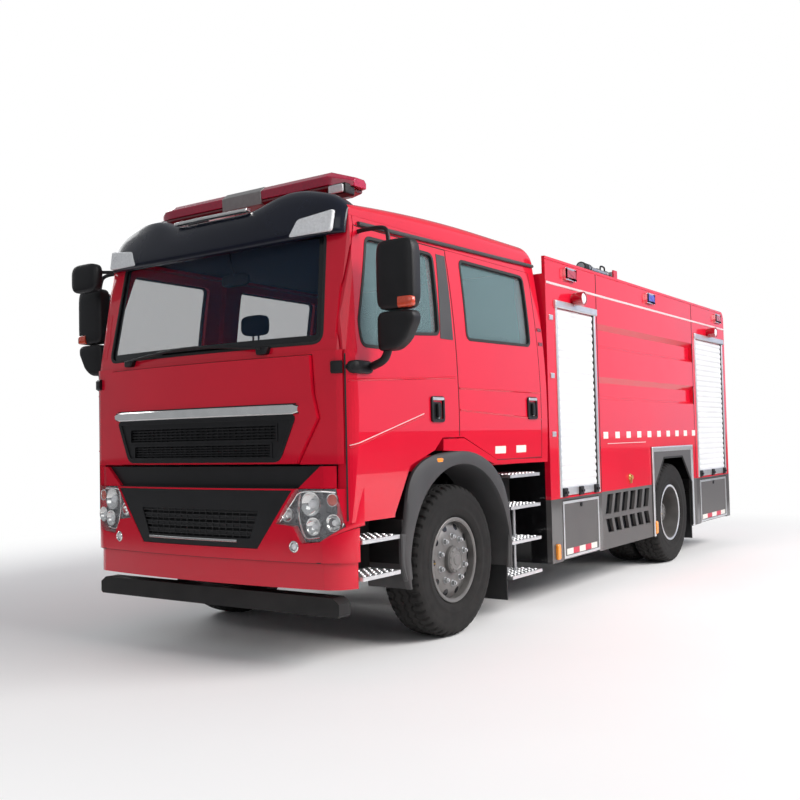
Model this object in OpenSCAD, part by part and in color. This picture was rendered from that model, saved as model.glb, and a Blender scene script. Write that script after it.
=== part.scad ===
// Foam fire truck on two axles: crew cab, locker body with roller shutters and a roof monitor.
// Frame: +X forward, +Y to the left of the truck, +Z up; origin on the ground at mid length.

/* [Layout] */
// Distance between front and rear axle
wheelbase = 4500; // [4400:50:4700]
// Front axle to the front face of the bumper
front_overhang = 1430; // [1420:10:1460]
// Rear axle to the rearmost point, the rear bar and ladder
rear_overhang = 2200; // [2160:20:2320]
// Width over the body side panels
body_w = 2430; // [2400:10:2480]
// Width over the cab doors at the belt
cab_w = 2450; // [2430:10:2490]

/* [Body] */
// Height of the lower edge of the skirts
skirt_z = 340; // [320:10:360]
// Height where the red sides begin above the grey skirts
deck_z = 880; // [870:5:900]
// Height of the top edge of the body sides
body_top_z = 2950; // [2930:10:3050]
// Length of the front locker module
front_module_l = 1070; // [1040:10:1100]
// Length of the rear pump module
rear_module_l = 1310; // [1280:10:1340]
// Number of slats in one roller shutter
slat_count = 26; // [20:1:32]

/* [Cab] */
// Length of the cab from windscreen base to rear wall
cab_l = 2785; // [2760:5:2800]
// Height of the belt where the windscreen begins
belt_z = 1980; // [1960:10:2000]
// Lean of the windscreen
screen_lean = 10; // [8:1:12]
// Height of the cab roof
cab_top_z = 2950; // [2940:10:3000]
// Thickness of doors and outer cab walls
cab_wall = 60; // [50:5:65]

/* [Wheels] */
// Tyre diameter
tyre_od = 1084; // [1060:4:1090]
// Tyre section width
tyre_w = 300; // [280:5:305]
// Distance between the front wheel centre planes
track_front = 2030; // [2010:10:2040]
// Distance between the middles of the rear twin wheels
track_rear = 1750; // [1745:5:1770]

/* [Roof] */
// Length of the light bar across the cab roof
light_bar_l = 1910; // [1700:10:1950]
// Height of the monitor barrel above the body sides
monitor_rise = 520; // [480:10:560]

/* [Hidden] */
$fn = 48;
fine_fn = 360;
eps = 1;
far = 6000;

// Main stations along the truck
overall_l = wheelbase + front_overhang + rear_overhang;
front_x = overall_l / 2;
rear_x = -front_x;
front_axle_x = front_x - front_overhang;
rear_axle_x = front_axle_x - wheelbase;
half_body = body_w / 2;
half_cab = cab_w / 2;
wheel_r = tyre_od / 2;
move_gap = 6;
seat_gap = 0.5;

// Cab shape
cab_front_x = front_x - 45;
cab_rear_x = cab_front_x - cab_l;
cab_gap = 50;
screen_set = 12;
side_r = 7500;
side_mid_z = 1600;
bow_r = 8333;
corner_r = 150;
plan_half = half_cab + 8;
corner_y = plan_half - corner_r;
bow_sag = bow_r - sqrt(bow_r * bow_r - corner_y * corner_y);
corner_x = cab_front_x - bow_sag - corner_r;
cab_floor_z = 1200;
floor_t = 60;
roof_line_z = cab_top_z - 100;
door_top_z = roof_line_z - 60;
door_sill_z = 910;
nose_low_z = 1275;
door_front_x = corner_x + 120.7;
b_gap_x = front_axle_x + 20;
crew_rear_x = cab_rear_x + 105;
arch_top_z = 1420;
crew_low_z = 1240;
post_in = 116;
post_w = 110;
fender_r = 685;
fender_t = 18;
fender_in = 880;

// Body stations
body_front_x = cab_rear_x - cab_gap;
tank_front_x = body_front_x - front_module_l;
rear_gear = 80;
body_rear_x = rear_x + rear_gear;
tank_rear_x = body_rear_x + rear_module_l;
panel_t = 30;
roof_deck_z = body_top_z - 150;
rail_half = 430;
rail_w = 80;
rail_low_z = 740;
rail_top_z = 1020;
tunnel_half = 520;
tunnel_top_z = 1080;
shutter_low_z = deck_z + 10;
shutter_top_z = body_top_z - 425;
shutter_depth = 35;
flap_low_z = skirt_z + 12;
flap_top_z = deck_z - 30;
locker_in = 560;
front_pillar_w = 210;
rear_pillar_w = 120;
wheel_panel_half = 660;
wheel_panel_top_z = 1272;
arch_flat = 300;
arch_half = 600;
well_half = 630;
well_top_z = 1180;

// Axle and wheel sizes
kingpin_y = 830;
kingpin_r = 22;
eye_r = 42;
eye_low_z = wheel_r - 62;
eye_top_z = wheel_r + 58;
lug_t = 45;
spindle_r = 46;
rear_spindle_r = 55;
arm_l = 200;
arm_y = kingpin_y;
arm_z = wheel_r - 90;
rod_z = arm_z - 57;
rod_r = 22;
rod_eye_r = 32;
rod_pin_r = 12;
rod_bore_r = rod_pin_r + seat_gap;
rim_seat_r = 290;
rim_lip_r = 303;
rim_half = 114;
lip_t = 10;
rim_t = 14;
hole_count = 10;
hole_r = 24;
twin_half = 170;

// A half outline and its mirror image, joined to one closed list of points
function mirror_first(p) = concat(p, [for (k = [len(p) - 1 : -1 : 0]) [-p[k][0], p[k][1]]]);
function mirror_second(p) = concat(p, [for (k = [len(p) - 1 : -1 : 0]) [p[k][0], -p[k][1]]]);

// Two corners make a box
module box(a, b) {
    translate(a) cube(b - a);
}

// Flat outline in X and Z, thick from y0 to y1
module y_plate(y0, y1) {
    translate([0, y1, 0]) rotate([90, 0, 0]) linear_extrude(height = y1 - y0) children();
}

// Flat outline in Y and Z, thick from x0 to x1
module x_plate(x0, x1) {
    translate([x0, 0, 0]) rotate([90, 0, 90]) linear_extrude(height = x1 - x0) children();
}

// Flat outline in X and Y, thick from z0 to z1
module z_plate(z0, z1) {
    translate([0, 0, z0]) linear_extrude(height = z1 - z0) children();
}

// A piece and its mirror image on the other side of the truck
module both() {
    children();
    mirror([0, 1, 0]) children();
}

module right_side() {
    mirror([0, 1, 0]) children();
}

// Rectangle with true round corners
module round_rect(x0, y0, x1, y1, r) {
    translate([x0 + r, y0]) square([x1 - x0 - 2 * r, y1 - y0]);
    translate([x0, y0 + r]) square([x1 - x0, y1 - y0 - 2 * r]);
    for (x = [x0 + r, x1 - r], y = [y0 + r, y1 - r]) translate([x, y]) circle(r);
}

// Local frame at the windscreen base: x out of the glass, z up along it
module screen_frame() {
    translate([cab_front_x - screen_set, 0, belt_z]) rotate([0, -screen_lean, 0]) children();
}

// Plan of the cab with bowed front and round corners, moved in by i
module cab_plan(i) {
    intersection() {
        translate([cab_front_x - bow_r, 0]) circle(bow_r - i, $fn = fine_fn);
        union() {
            translate([cab_rear_x - far, -plan_half + i])
                square([corner_x - cab_rear_x + far, 2 * (plan_half - i)]);
            translate([corner_x - corner_r, -corner_y]) square([far, 2 * corner_y]);
            for (s = [-1, 1]) translate([corner_x, s * corner_y]) circle(corner_r - i);
        }
    }
}

// Cross section of the cab, sides bent to one large radius, roof edges rounded, moved in by i
module cab_section(i) {
    roof_r = 140;
    roof_half = half_cab - side_r + sqrt(pow(side_r, 2) - pow(cab_top_z - roof_r - side_mid_z, 2));
    intersection() {
        translate([half_cab - side_r, side_mid_z]) circle(side_r - i, $fn = fine_fn);
        translate([side_r - half_cab, side_mid_z]) circle(side_r - i, $fn = fine_fn);
        union() {
            translate([-half_cab, 0]) square([cab_w, cab_top_z - roof_r]);
            translate([-roof_half + roof_r, 0]) square([2 * (roof_half - roof_r), cab_top_z - i]);
            for (s = [-1, 1]) translate([s * (roof_half - roof_r), cab_top_z - roof_r])
                circle(max(roof_r - i, eps));
        }
    }
}

// Curved skin of the left cab side between two depths
module side_skin(i0, i1, x0, x1) {
    x_plate(x0, x1) intersection() {
        difference() {
            translate([half_cab - side_r, side_mid_z]) circle(side_r - i0, $fn = fine_fn);
            translate([half_cab - side_r, side_mid_z]) circle(side_r - i1, $fn = fine_fn);
        }
        translate([half_cab / 2, door_sill_z - far / 10]) square([half_cab, far]);
    }
}

// Lean of the front edge of the front door, as points from low to high
function door_edge(g) = [
    [door_front_x - g, door_sill_z], [door_front_x - g, belt_z - 20], [door_front_x - 23 - g, 2190],
    [door_front_x - 120 - g, 2640], [door_front_x - 175 - g, door_top_z]
];

// Outline of the front door; g draws it in
module front_door_outline(g) {
    e = door_edge(g);
    polygon([
        e[0] + [0, g], e[1], e[2], e[3], e[4] - [0, g], [b_gap_x + g, door_top_z - g],
        [b_gap_x + g, arch_top_z + g],
        [front_axle_x + 250, arch_top_z + g], [front_axle_x + 350, arch_top_z - 85 + g],
        [front_axle_x + 650, crew_low_z + g], [front_axle_x + 805 + g, door_sill_z + 25],
        [front_axle_x + 805 + g, door_sill_z + g]
    ]);
}

// Outline of the crew door; g draws it in
module crew_door_outline(g) {
    polygon([
        [b_gap_x - g, arch_top_z + g], [b_gap_x - 60, arch_top_z + g],
        [front_axle_x - 530, crew_low_z + 5 + g],
        [crew_rear_x + g, crew_low_z - 5 + g], [crew_rear_x + g, door_top_z - g],
        [b_gap_x - g, door_top_z - g]
    ]);
}

module rounded(r) {
    offset(r = r, $fn = 24) offset(delta = -r) children();
}

module front_window() {
    rounded(40) polygon([
        [front_axle_x + 1150, 2010], [front_axle_x + 1175, 2150], [front_axle_x + 1045, 2560],
        [front_axle_x + 995, 2725],
        [b_gap_x + 190, 2725], [b_gap_x + 220, 2150], [front_axle_x + 620, 2125],
        [front_axle_x + 900, 2010]
    ]);
}

module crew_window() {
    rounded(40) polygon([
        [b_gap_x - 165, 2142], [crew_rear_x + 140, 2160], [crew_rear_x + 125, 2735], [b_gap_x - 185, 2735]
    ]);
}

module screen_opening() {
    rounded(60) polygon([[-1010, 2035], [1010, 2035], [960, 2770], [-960, 2770]]);
}

module flap_outline(g) {
    polygon(mirror_first([
        [840 - g, nose_low_z + 5 + g], [1000 - g, 1560], [965 - g, 1720], [950 - g, 1955 - g]
    ]));
}

frame_front_x = front_x - 225;
frame_rear_x = body_rear_x + panel_t;
web_t = 12;
rear_bar_t = 60;

// Two channel rails with the bearers under the body and the cab mounts
module frame() {
    mount_w = 60;
    mount_l = 120;
    color("dimgray") both() {
        difference() {
            box([frame_rear_x, rail_half - rail_w, rail_low_z], [frame_front_x, rail_half, rail_top_z]);
            box([frame_rear_x - eps, rail_half - rail_w - eps, rail_low_z + web_t],
                [frame_front_x + eps, rail_half - web_t, rail_top_z - web_t]);
        }
        box([frame_rear_x, rail_half - rail_w, rail_top_z], [body_front_x, rail_half, tunnel_top_z]);
        for (x = [cab_rear_x + mount_l, frame_front_x - 2 * mount_l])
            box([x, rail_half - mount_w, rail_top_z], [x + mount_l, rail_half, cab_floor_z]);
    }
}

// Cross members, front under-run bar, rear bar and tow lug with their brackets
module cross_members() {
    cross_w = 90;
    cross_list = [
        front_x - 425, body_front_x + 15, tank_front_x + 185,
        rear_axle_x + 1105, rear_axle_x + 415, rear_axle_x - 495, rear_x + 445
    ];
    cross_low_z = rail_low_z + 60;
    cross_top_z = rail_top_z - 60;
    bar_half = 1122;
    bracket_l = 120;
    bracket_low_z = 440;
    lug_low_z = 660;
    lug_high_z = 720;
    color("dimgray") {
        for (c = cross_list)
            box([c - cross_w / 2, -rail_half + web_t, cross_low_z],
                [c + cross_w / 2, rail_half - web_t, cross_top_z]);
        difference() {
            box([rear_x + 10, -90, lug_low_z], [body_rear_x, 90, lug_high_z]);
            translate([rear_x + 45, 0, lug_low_z - eps])
                cylinder(r = 20.5, h = lug_high_z - lug_low_z + 2 * eps);
        }
        both() {
            box([frame_front_x - 60, rail_half - rail_w, skirt_z - 5],
                [frame_front_x, rail_half, rail_low_z]);
            box([rear_x + rear_bar_t, rail_half - rail_w, bracket_low_z],
                [frame_rear_x + bracket_l, rail_half, bracket_low_z + rear_bar_t]);
            box([frame_rear_x, rail_half - rail_w, bracket_low_z],
                [frame_rear_x + bracket_l, rail_half, rail_low_z]);
        }
        box([rear_x, -1100, 400], [rear_x + rear_bar_t, 1100, 500]);
        x_plate(frame_front_x, frame_front_x + 115) polygon([
            [-bar_half, 350], [-bar_half, 420], [-bar_half + 50, 455], [bar_half - 50, 455],
            [bar_half, 420], [bar_half, 350], [bar_half - 15, 335], [-bar_half + 15, 335]
        ]);
    }
}

// Leaf pack with its two hangers, on one rail
module leaf_pack(x, seat_z, span) {
    leaf_t = 22;
    leaf_table = [[0, 1], [1, 0.8], [2, 0.55]];
    step_no = 0;
    share = 1;
    top = seat_z + len(leaf_table) * leaf_t;
    for (l = leaf_table)
        box([x - span * l[share], rail_half - rail_w, top - (l[step_no] + 1) * leaf_t],
            [x + span * l[share], rail_half, top - l[step_no] * leaf_t]);
    for (s = [-1, 1])
        box([x + s * (span - 40) - 40, rail_half - rail_w, top],
            [x + s * (span - 40) + 40, rail_half, rail_low_z]);
}

// Front beam, rear housing and the leaf packs
module axles() {
    beam_half = 40;
    beam_top = wheel_r - 40;
    beam_low = beam_top - 100;
    tube_r = 70;
    spindle_end = track_rear / 2 + 60;
    tube_end = track_rear / 2 - twin_half - 100;
    color("dimgray") {
        difference() {
            union() {
                x_plate(front_axle_x - beam_half, front_axle_x + beam_half) polygon([
                    [-kingpin_y, eye_low_z + 20], [-kingpin_y + 110, eye_low_z + 10], [-600, beam_low],
                    [600, beam_low],
                    [kingpin_y - 110, eye_low_z + 10], [kingpin_y, eye_low_z + 20],
                    [kingpin_y, eye_top_z - 15],
                    [kingpin_y - 100, eye_top_z - 20], [560, beam_top], [-560, beam_top],
                    [-kingpin_y + 100, eye_top_z - 20], [-kingpin_y, eye_top_z - 15]
                ]);
                both() translate([front_axle_x, kingpin_y, eye_low_z])
                    cylinder(r = eye_r, h = eye_top_z - eye_low_z);
            }
            both() translate([front_axle_x, kingpin_y, eye_low_z - eps])
                cylinder(r = kingpin_r + seat_gap, h = eye_top_z - eye_low_z + 2 * eps);
        }
        both() leaf_pack(front_axle_x, beam_top, 800);
        translate([rear_axle_x, 0, wheel_r]) {
            rotate([90, 0, 0]) cylinder(r = tube_r, h = 2 * tube_end, center = true);
            rotate([90, 0, 0]) cylinder(r = rear_spindle_r, h = 2 * spindle_end, center = true);
            rotate([0, 90, 0]) cylinder(r = 215, h = 280, center = true);
            translate([0, 0, 60]) rotate([0, 90, 0]) cylinder(r = 80, h = 300);
        }
        both() difference() {
            box([rear_axle_x - 70, rail_half - rail_w, wheel_r],
                [rear_axle_x + 70, rail_half, wheel_r + 90]);
            translate([rear_axle_x, 0, wheel_r]) rotate([-90, 0, 0]) cylinder(r = tube_r, h = half_body);
        }
        both() leaf_pack(rear_axle_x, wheel_r + 90, 780);
    }
}

// Left steering knuckle: pin, fork, spindle and steering arm
module knuckle() {
    web_in = kingpin_y + eye_r + move_gap;
    drum_in = track_front / 2 - rim_half + 4;
    web_half = 55;
    low = eye_low_z - move_gap - lug_t;
    top = eye_top_z + move_gap + lug_t;
    color("slategray") translate([front_axle_x, 0, 0]) {
        translate([0, kingpin_y, low]) cylinder(r = kingpin_r, h = top - low);
        for (z = [low, top - lug_t]) {
            translate([0, kingpin_y, z]) cylinder(r = eye_r, h = lug_t);
            box([-eye_r, kingpin_y, z], [eye_r, web_in, z + lug_t]);
        }
        box([-web_half, web_in, low], [web_half, drum_in - move_gap, top]);
        translate([0, web_in, wheel_r]) rotate([-90, 0, 0])
            cylinder(r = spindle_r, h = track_front / 2 + 50 - web_in);
        box([-arm_l - 30, arm_y - 25, low], [0, arm_y + 20, low + lug_t]);
        translate([-arm_l, arm_y, rod_z - 22]) cylinder(r = rod_pin_r, h = low - rod_z + 22 + eps);
    }
}

module knuckle_left() {
    knuckle();
}

module knuckle_right() {
    right_side() knuckle();
}

// Rod that keeps both knuckles parallel
module tie_rod() {
    eye_h = 40;
    color("gray") translate([front_axle_x - arm_l, 0, rod_z]) difference() {
        union() {
            rotate([90, 0, 0]) cylinder(r = rod_r, h = 2 * (arm_y - rod_bore_r), center = true);
            both() translate([0, arm_y, -eye_h / 2]) cylinder(r = rod_eye_r, h = eye_h);
        }
        both() translate([0, arm_y, -eye_h]) cylinder(r = rod_bore_r, h = 2 * eye_h);
    }
}

// Engine, gearbox and propeller shaft as plain masses at their places
module powertrain() {
    engine_l = 1300;
    engine_x = front_axle_x - 545;
    gearbox_l = 750;
    shaft_z = wheel_r + 60;
    shaft_end = rear_axle_x + 300;
    color("darkslategray") {
        box([engine_x, -310, 580], [engine_x + engine_l, 310, 1320]);
        both() box([engine_x + 600, 310, 800], [engine_x + 700, rail_half - 12, 860]);
        box([engine_x - gearbox_l, -220, 560], [engine_x, 220, 1000]);
        translate([shaft_end, 0, shaft_z]) rotate([0, 90, 0])
            cylinder(r = 50, h = engine_x - gearbox_l - shaft_end + eps);
    }
}

// Fuel tank on the left, air bottles and battery box on the right, hung on the rails
module chassis_tanks() {
    x0 = rear_axle_x + 760;
    x1 = tank_front_x - 120;
    color("silver") {
        x_plate(x0, x1) round_rect(rail_half + 90, 420, half_body - 110, 860, 70);
        for (x = [x0 + 120, x1 - 200]) box([x, rail_half, rail_low_z + 20],
            [x + 60, rail_half + 100, rail_low_z + 90]);
        right_side() {
            box([x1 - 560, rail_half + 90, 430], [x1, half_body - 120, 850]);
            box([x1 - 320, rail_half, rail_low_z + 20], [x1 - 260, rail_half + 100, rail_low_z + 90]);
            for (y = [rail_half + 210, rail_half + 480]) translate([x0, y, 640]) rotate([0, 90, 0])
                cylinder(r = 125, h = 500);
            box([x0 + 240, rail_half, 600], [x0 + 300, rail_half + 480, 680]);
            box([x0 + 240, rail_half, 600], [x0 + 300, rail_half + 60, rail_low_z + 80]);
        }
    }
}

// Bumper plan: bowed front with wide corners, moved in by i
module bumper_plan(i) {
    wide = half_cab - 15;
    r = 230;
    mid = wide - r;
    sag = bow_r - sqrt(bow_r * bow_r - mid * mid);
    intersection() {
        translate([front_x - bow_r, 0]) circle(bow_r - i, $fn = fine_fn);
        union() {
            translate([0, -wide + i]) square([front_x - sag - r, 2 * (wide - i)]);
            translate([front_x / 2, -mid]) square([far, 2 * mid]);
            for (s = [-1, 1]) translate([front_x - sag - r, s * mid]) circle(r - i);
        }
    }
}

bumper_low_z = 505;
bumper_top_z = 1125;
apron_top_z = nose_low_z - 12;
bumper_t = 80;
bumper_back_x = front_axle_x + 1200;
fog_y = 826;
fog_z = 766;
fog_r = 38;

module headlamp_outline() {
    polygon([
        [685, 905], [842, bumper_top_z], [half_cab, bumper_top_z], [half_cab, 890],
        [1020, 800], [880, 785], [820, 890]
    ]);
}

// Corner piece of the bumper above a headlamp
module corner_outline() {
    polygon([
        [842, bumper_top_z], [half_cab, bumper_top_z], [half_cab, apron_top_z], [1010, apron_top_z]
    ]);
}

module insert_outline() {
    polygon([[-540, 742], [540, 742], [818, 1115], [-818, 1115]]);
}

// Painted bumper shell with its beam behind
module bumper() {
    lip_z = 670;
    color("firebrick") difference() {
        union() {
            difference() {
                z_plate(lip_z, bumper_top_z) bumper_plan(0);
                z_plate(lip_z - eps, bumper_top_z + eps) bumper_plan(bumper_t);
                box([0, -half_cab, lip_z - eps], [bumper_back_x, half_cab, bumper_top_z + eps]);
                box([0, -half_cab, door_sill_z - 2 * move_gap],
                    [door_front_x + move_gap, half_cab, bumper_top_z + eps]);
            }
            difference() {
                z_plate(bumper_low_z, lip_z) bumper_plan(18);
                z_plate(bumper_low_z - eps, lip_z + eps) bumper_plan(bumper_t);
                box([0, -half_cab, bumper_low_z - eps], [bumper_back_x, half_cab, lip_z + eps]);
            }
            box([front_x - 225, -880, 700], [front_x - bumper_t - 20, 880, 780]);
        }
        both() x_plate(front_axle_x, front_x + eps) headlamp_outline();
        x_plate(front_axle_x, front_x + eps) insert_outline();
        both() translate([front_axle_x, fog_y, fog_z]) rotate([0, 90, 0]) cylinder(r = fog_r, h = far);
    }
    color("firebrick") both() intersection() {
        apron_shell(30);
        x_plate(front_axle_x, front_x + eps) corner_outline();
    }
}

// Shell above the bumper, from depth i to the back of the bumper
module apron_shell(i) {
    difference() {
        z_plate(bumper_top_z, apron_top_z) bumper_plan(i);
        z_plate(bumper_top_z - eps, apron_top_z + eps) bumper_plan(bumper_t);
        box([0, -half_cab, bumper_top_z - eps],
            [door_front_x + 2 * move_gap, half_cab, apron_top_z + eps]);
    }
}

// Black mesh panel between the headlamps, with slots
module bumper_insert() {
    slot_table = [[800, 480], [850, 520], [900, 560], [950, 600], [1000, 640], [1050, 680]];
    slot_z = 0;
    slot_half = 1;
    color("black") difference() {
        intersection() {
            x_plate(front_axle_x, front_x + eps) insert_outline();
            difference() {
                z_plate(bumper_low_z, bumper_top_z) bumper_plan(12);
                z_plate(bumper_low_z, bumper_top_z) bumper_plan(bumper_t);
            }
        }
        for (t = slot_table)
            box([front_x - 45, -t[slot_half], t[slot_z]], [front_x + eps, t[slot_half], t[slot_z] + 26]);
    }
    color("black") difference() {
        apron_shell(55);
        both() x_plate(front_axle_x, front_x + eps) corner_outline();
    }
}

// Headlamp units that follow the bumper corner, and the round fog lamps
module headlamps() {
    color("whitesmoke") both() {
        intersection() {
            x_plate(front_axle_x, front_x + eps) headlamp_outline();
            difference() {
                z_plate(bumper_low_z, bumper_top_z) bumper_plan(6);
                z_plate(bumper_low_z, bumper_top_z) bumper_plan(bumper_t);
                box([0, -half_cab, bumper_low_z], [door_front_x + move_gap, half_cab, bumper_top_z]);
            }
        }
        translate([front_x - bumper_t - 10, fog_y, fog_z]) rotate([0, 90, 0]) cylinder(r = fog_r, h = 44);
    }
}

// Room for the front wheel arches
module arch_room() {
    both() translate([front_axle_x, fender_in - move_gap, wheel_r]) rotate([-90, 0, 0])
        cylinder(r = fender_r + fender_t + move_gap, h = far);
}

step_in = 930;
front_step_x = front_axle_x + 740;
lip_end_x = front_axle_x + 785;
crew_step_x = front_axle_x - 730;

// Wheel arch mouldings with step wells and mud flaps
module fenders() {
    out = half_cab - 3;
    lip = 22;
    well_t = 18;
    color("dimgray") both() {
        difference() {
            union() {
                y_plate(out - lip, out) translate([front_axle_x, 0]) polygon([
                    [735, 485], [lip_end_x - front_axle_x, 600], [lip_end_x - front_axle_x, 925],
                    [630, 1208], [220, 1320], [-115, 1305], [-500, 1195],
                    [-640, 1090], [-665, 930], [-725, 405], [-660, 405], [-690, 540], [690, 540],
                    [660, 485]
                ]);
                y_plate(fender_in, out - lip) intersection() {
                    translate([front_axle_x, wheel_r]) circle(fender_r + fender_t);
                    translate([front_axle_x - far, wheel_r + 180]) square(2 * far);
                }
            }
            translate([front_axle_x, fender_in - eps, wheel_r]) rotate([-90, 0, 0])
                cylinder(r = fender_r, h = far);
        }
        box([front_step_x, step_in - well_t, 500], [front_step_x + 460, step_in, door_sill_z - 20]);
        box([front_step_x - well_t, step_in - well_t, 600], [front_step_x, out - lip, door_sill_z - 20]);
        box([crew_step_x - 520, step_in - well_t, 300], [crew_step_x, step_in, 1130]);
        box([crew_step_x, step_in - well_t, 420], [crew_step_x + well_t, out - lip, 930]);
        for (x = [front_step_x + 60, crew_step_x - 260])
            box([x, rail_half, 900], [x + 60, step_in - well_t, 960]);
        box([crew_step_x + well_t, 900, 150], [crew_step_x + well_t + 12, 1180, 600]);
        box([rear_axle_x - 700, 590, 190], [rear_axle_x - 688, 1180, 700]);
        box([rear_axle_x - 700, rail_half, 700], [rear_axle_x - 660, 1180, 740]);
    }
}

// Bright treads: two under each front door, four under each crew door
module step_treads() {
    tread_t = 25;
    out = half_cab - 12;
    front_table = [800, 572];
    crew_table = [1118, 870, 597, 328];
    color("silver") both() {
        for (z = front_table) box([lip_end_x, step_in, z - tread_t], [front_step_x + 450, out, z]);
        for (z = crew_table) box([crew_step_x - 520, step_in, z - tread_t], [crew_step_x - 10, out, z]);
    }
}

// Floor slab with the engine tunnel
module cab_floor() {
    front = cab_front_x - 180;
    tunnel_in = 360;
    tunnel_t = 40;
    tunnel_z = 1400;
    tunnel_rear = front_axle_x - 700;
    color("darkgray") difference() {
        union() {
            intersection() {
                box([cab_rear_x + cab_wall, -half_cab, cab_floor_z],
                    [front, half_cab, cab_floor_z + floor_t]);
                x_plate(0, far) cab_section(post_in + 40);
            }
            box([tunnel_rear - tunnel_t, -tunnel_in - tunnel_t, cab_floor_z],
                [front, tunnel_in + tunnel_t, tunnel_z + tunnel_t]);
        }
        box([tunnel_rear, -tunnel_in, cab_floor_z - eps], [front + eps, tunnel_in, tunnel_z]);
        arch_room();
    }
}

nose_t = 90;

// Upper cab shell of one depth, leaning back with the windscreen
module leaning_plan(i) {
    intersection() {
        screen_frame() translate([-cab_front_x, 0, 0]) linear_extrude(height = 1400) cab_plan(i);
        box([0, -far, belt_z], [far, far, far]);
    }
}

// Front wall with corner panels, windscreen pillars and header
module cab_nose() {
    e = door_edge(0);
    color("firebrick") intersection() {
        difference() {
            union() {
                z_plate(nose_low_z, belt_z) cab_plan(0);
                leaning_plan(0);
            }
            z_plate(nose_low_z - eps, belt_z + eps) cab_plan(nose_t);
            leaning_plan(nose_t);
            x_plate(0, far) screen_opening();
            difference() {
                x_plate(front_axle_x, far) flap_outline(-move_gap);
                z_plate(nose_low_z - eps, belt_z + eps) cab_plan(flap_in + seat_gap);
            }
        }
        x_plate(0, far) cab_section(0);
        y_plate(-far, far) polygon([
            [far, nose_low_z], e[0] + [move_gap, nose_low_z - door_sill_z], e[1] + [move_gap, 0],
            e[2] + [move_gap, 0],
            e[3] + [move_gap, 0], e[4] + [move_gap, 0], [e[4][0] + move_gap, roof_line_z],
            [far, roof_line_z]
        ]);
    }
}

module windscreen() {
    glass_in = 14;
    glass_t = 7;
    color("midnightblue") intersection() {
        difference() {
            leaning_plan(glass_in);
            leaning_plan(glass_in + glass_t);
        }
        x_plate(0, far) screen_opening();
    }
}

module cab_roof() {
    rear_r = 90;
    color("firebrick") intersection() {
        difference() {
            x_plate(cab_rear_x, far) cab_section(0);
            x_plate(cab_rear_x + cab_wall, far) cab_section(cab_wall);
        }
        leaning_plan(0);
        y_plate(-far, far) {
            translate([cab_rear_x + rear_r, roof_line_z]) square([far, cab_top_z - roof_line_z]);
            intersection() {
                translate([cab_rear_x, roof_line_z]) square([rear_r, cab_top_z - roof_line_z]);
                union() {
                    translate([cab_rear_x + rear_r, cab_top_z - rear_r]) circle(rear_r);
                    translate([cab_rear_x, 0]) square([rear_r, cab_top_z - rear_r]);
                }
            }
        }
    }
}

module cab_rear() {
    half = half_cab - side_r + sqrt(pow(side_r - post_in, 2) - pow(roof_line_z - side_mid_z, 2));
    color("firebrick") box([cab_rear_x, -half, cab_floor_z], [cab_rear_x + cab_wall, half, roof_line_z]);
}

// Side frames: rail over the doors, rear pillar, sill, arch piece and the post between the doors
module cab_sides() {
    half = half_cab - side_r + sqrt(pow(side_r - post_in, 2) - pow(roof_line_z - side_mid_z, 2));
    rail_end = door_front_x - 175;
    sill_z = cab_floor_z + floor_t + 40;
    color("firebrick") both() intersection() {
        union() {
            intersection() {
                side_skin(0, post_in + 40, cab_rear_x, rail_end);
                y_plate(0, far) {
                    polygon([
                        [rail_end, door_top_z], [crew_rear_x, door_top_z], [crew_rear_x, crew_low_z - 5],
                        [front_axle_x - 530, crew_low_z + 5], [b_gap_x - 60, arch_top_z - move_gap],
                        [front_axle_x + 240, arch_top_z - move_gap], [front_axle_x + 240, 1332],
                        [front_axle_x - 115, 1318],
                        [front_axle_x - 500, 1212], [cab_rear_x, cab_floor_z], [cab_rear_x, roof_line_z],
                        [rail_end, roof_line_z]
                    ]);
                }
            }
            difference() {
                intersection() {
                    side_skin(cab_wall + seat_gap, post_in, cab_rear_x, far);
                    y_plate(0, far) {
                        translate([b_gap_x - post_w / 2, cab_floor_z])
                            square([post_w, roof_line_z - cab_floor_z]);
                        translate([cab_rear_x, cab_floor_z])
                            square([front_axle_x + 1000 - cab_rear_x, sill_z - cab_floor_z]);
                    }
                }
                arch_room();
            }
        }
        box([0, half, 0], [far, far, far]);
    }
}

// Dark visor in front of the screen header, with a notch before the light bar
module sun_visor() {
    proud = 62;
    skin = 34;
    bracket_y = 690;
    color("midnightblue") intersection() {
        difference() {
            leaning_plan(-proud);
            leaning_plan(-proud + skin);
        }
        x_plate(0, far) translate([0, cab_top_z]) polygon(mirror_first([
            [0, -250], [500, -244], [1112, -222], [1110, -70], [1075, 2], [985, 60], [800, 106],
            [690, 118],
            [585, 112], [500, 80], [400, 32], [340, 26]
        ]));
        box([front_axle_x + 980, -far, 0], [far, far, far]);
    }
    color("midnightblue") both() intersection() {
        difference() {
            leaning_plan(-proud + skin / 2);
            leaning_plan(0);
        }
        box([front_axle_x, bracket_y, roof_line_z - 60], [far, bracket_y + 60, roof_line_z - 20]);
    }
}

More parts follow.
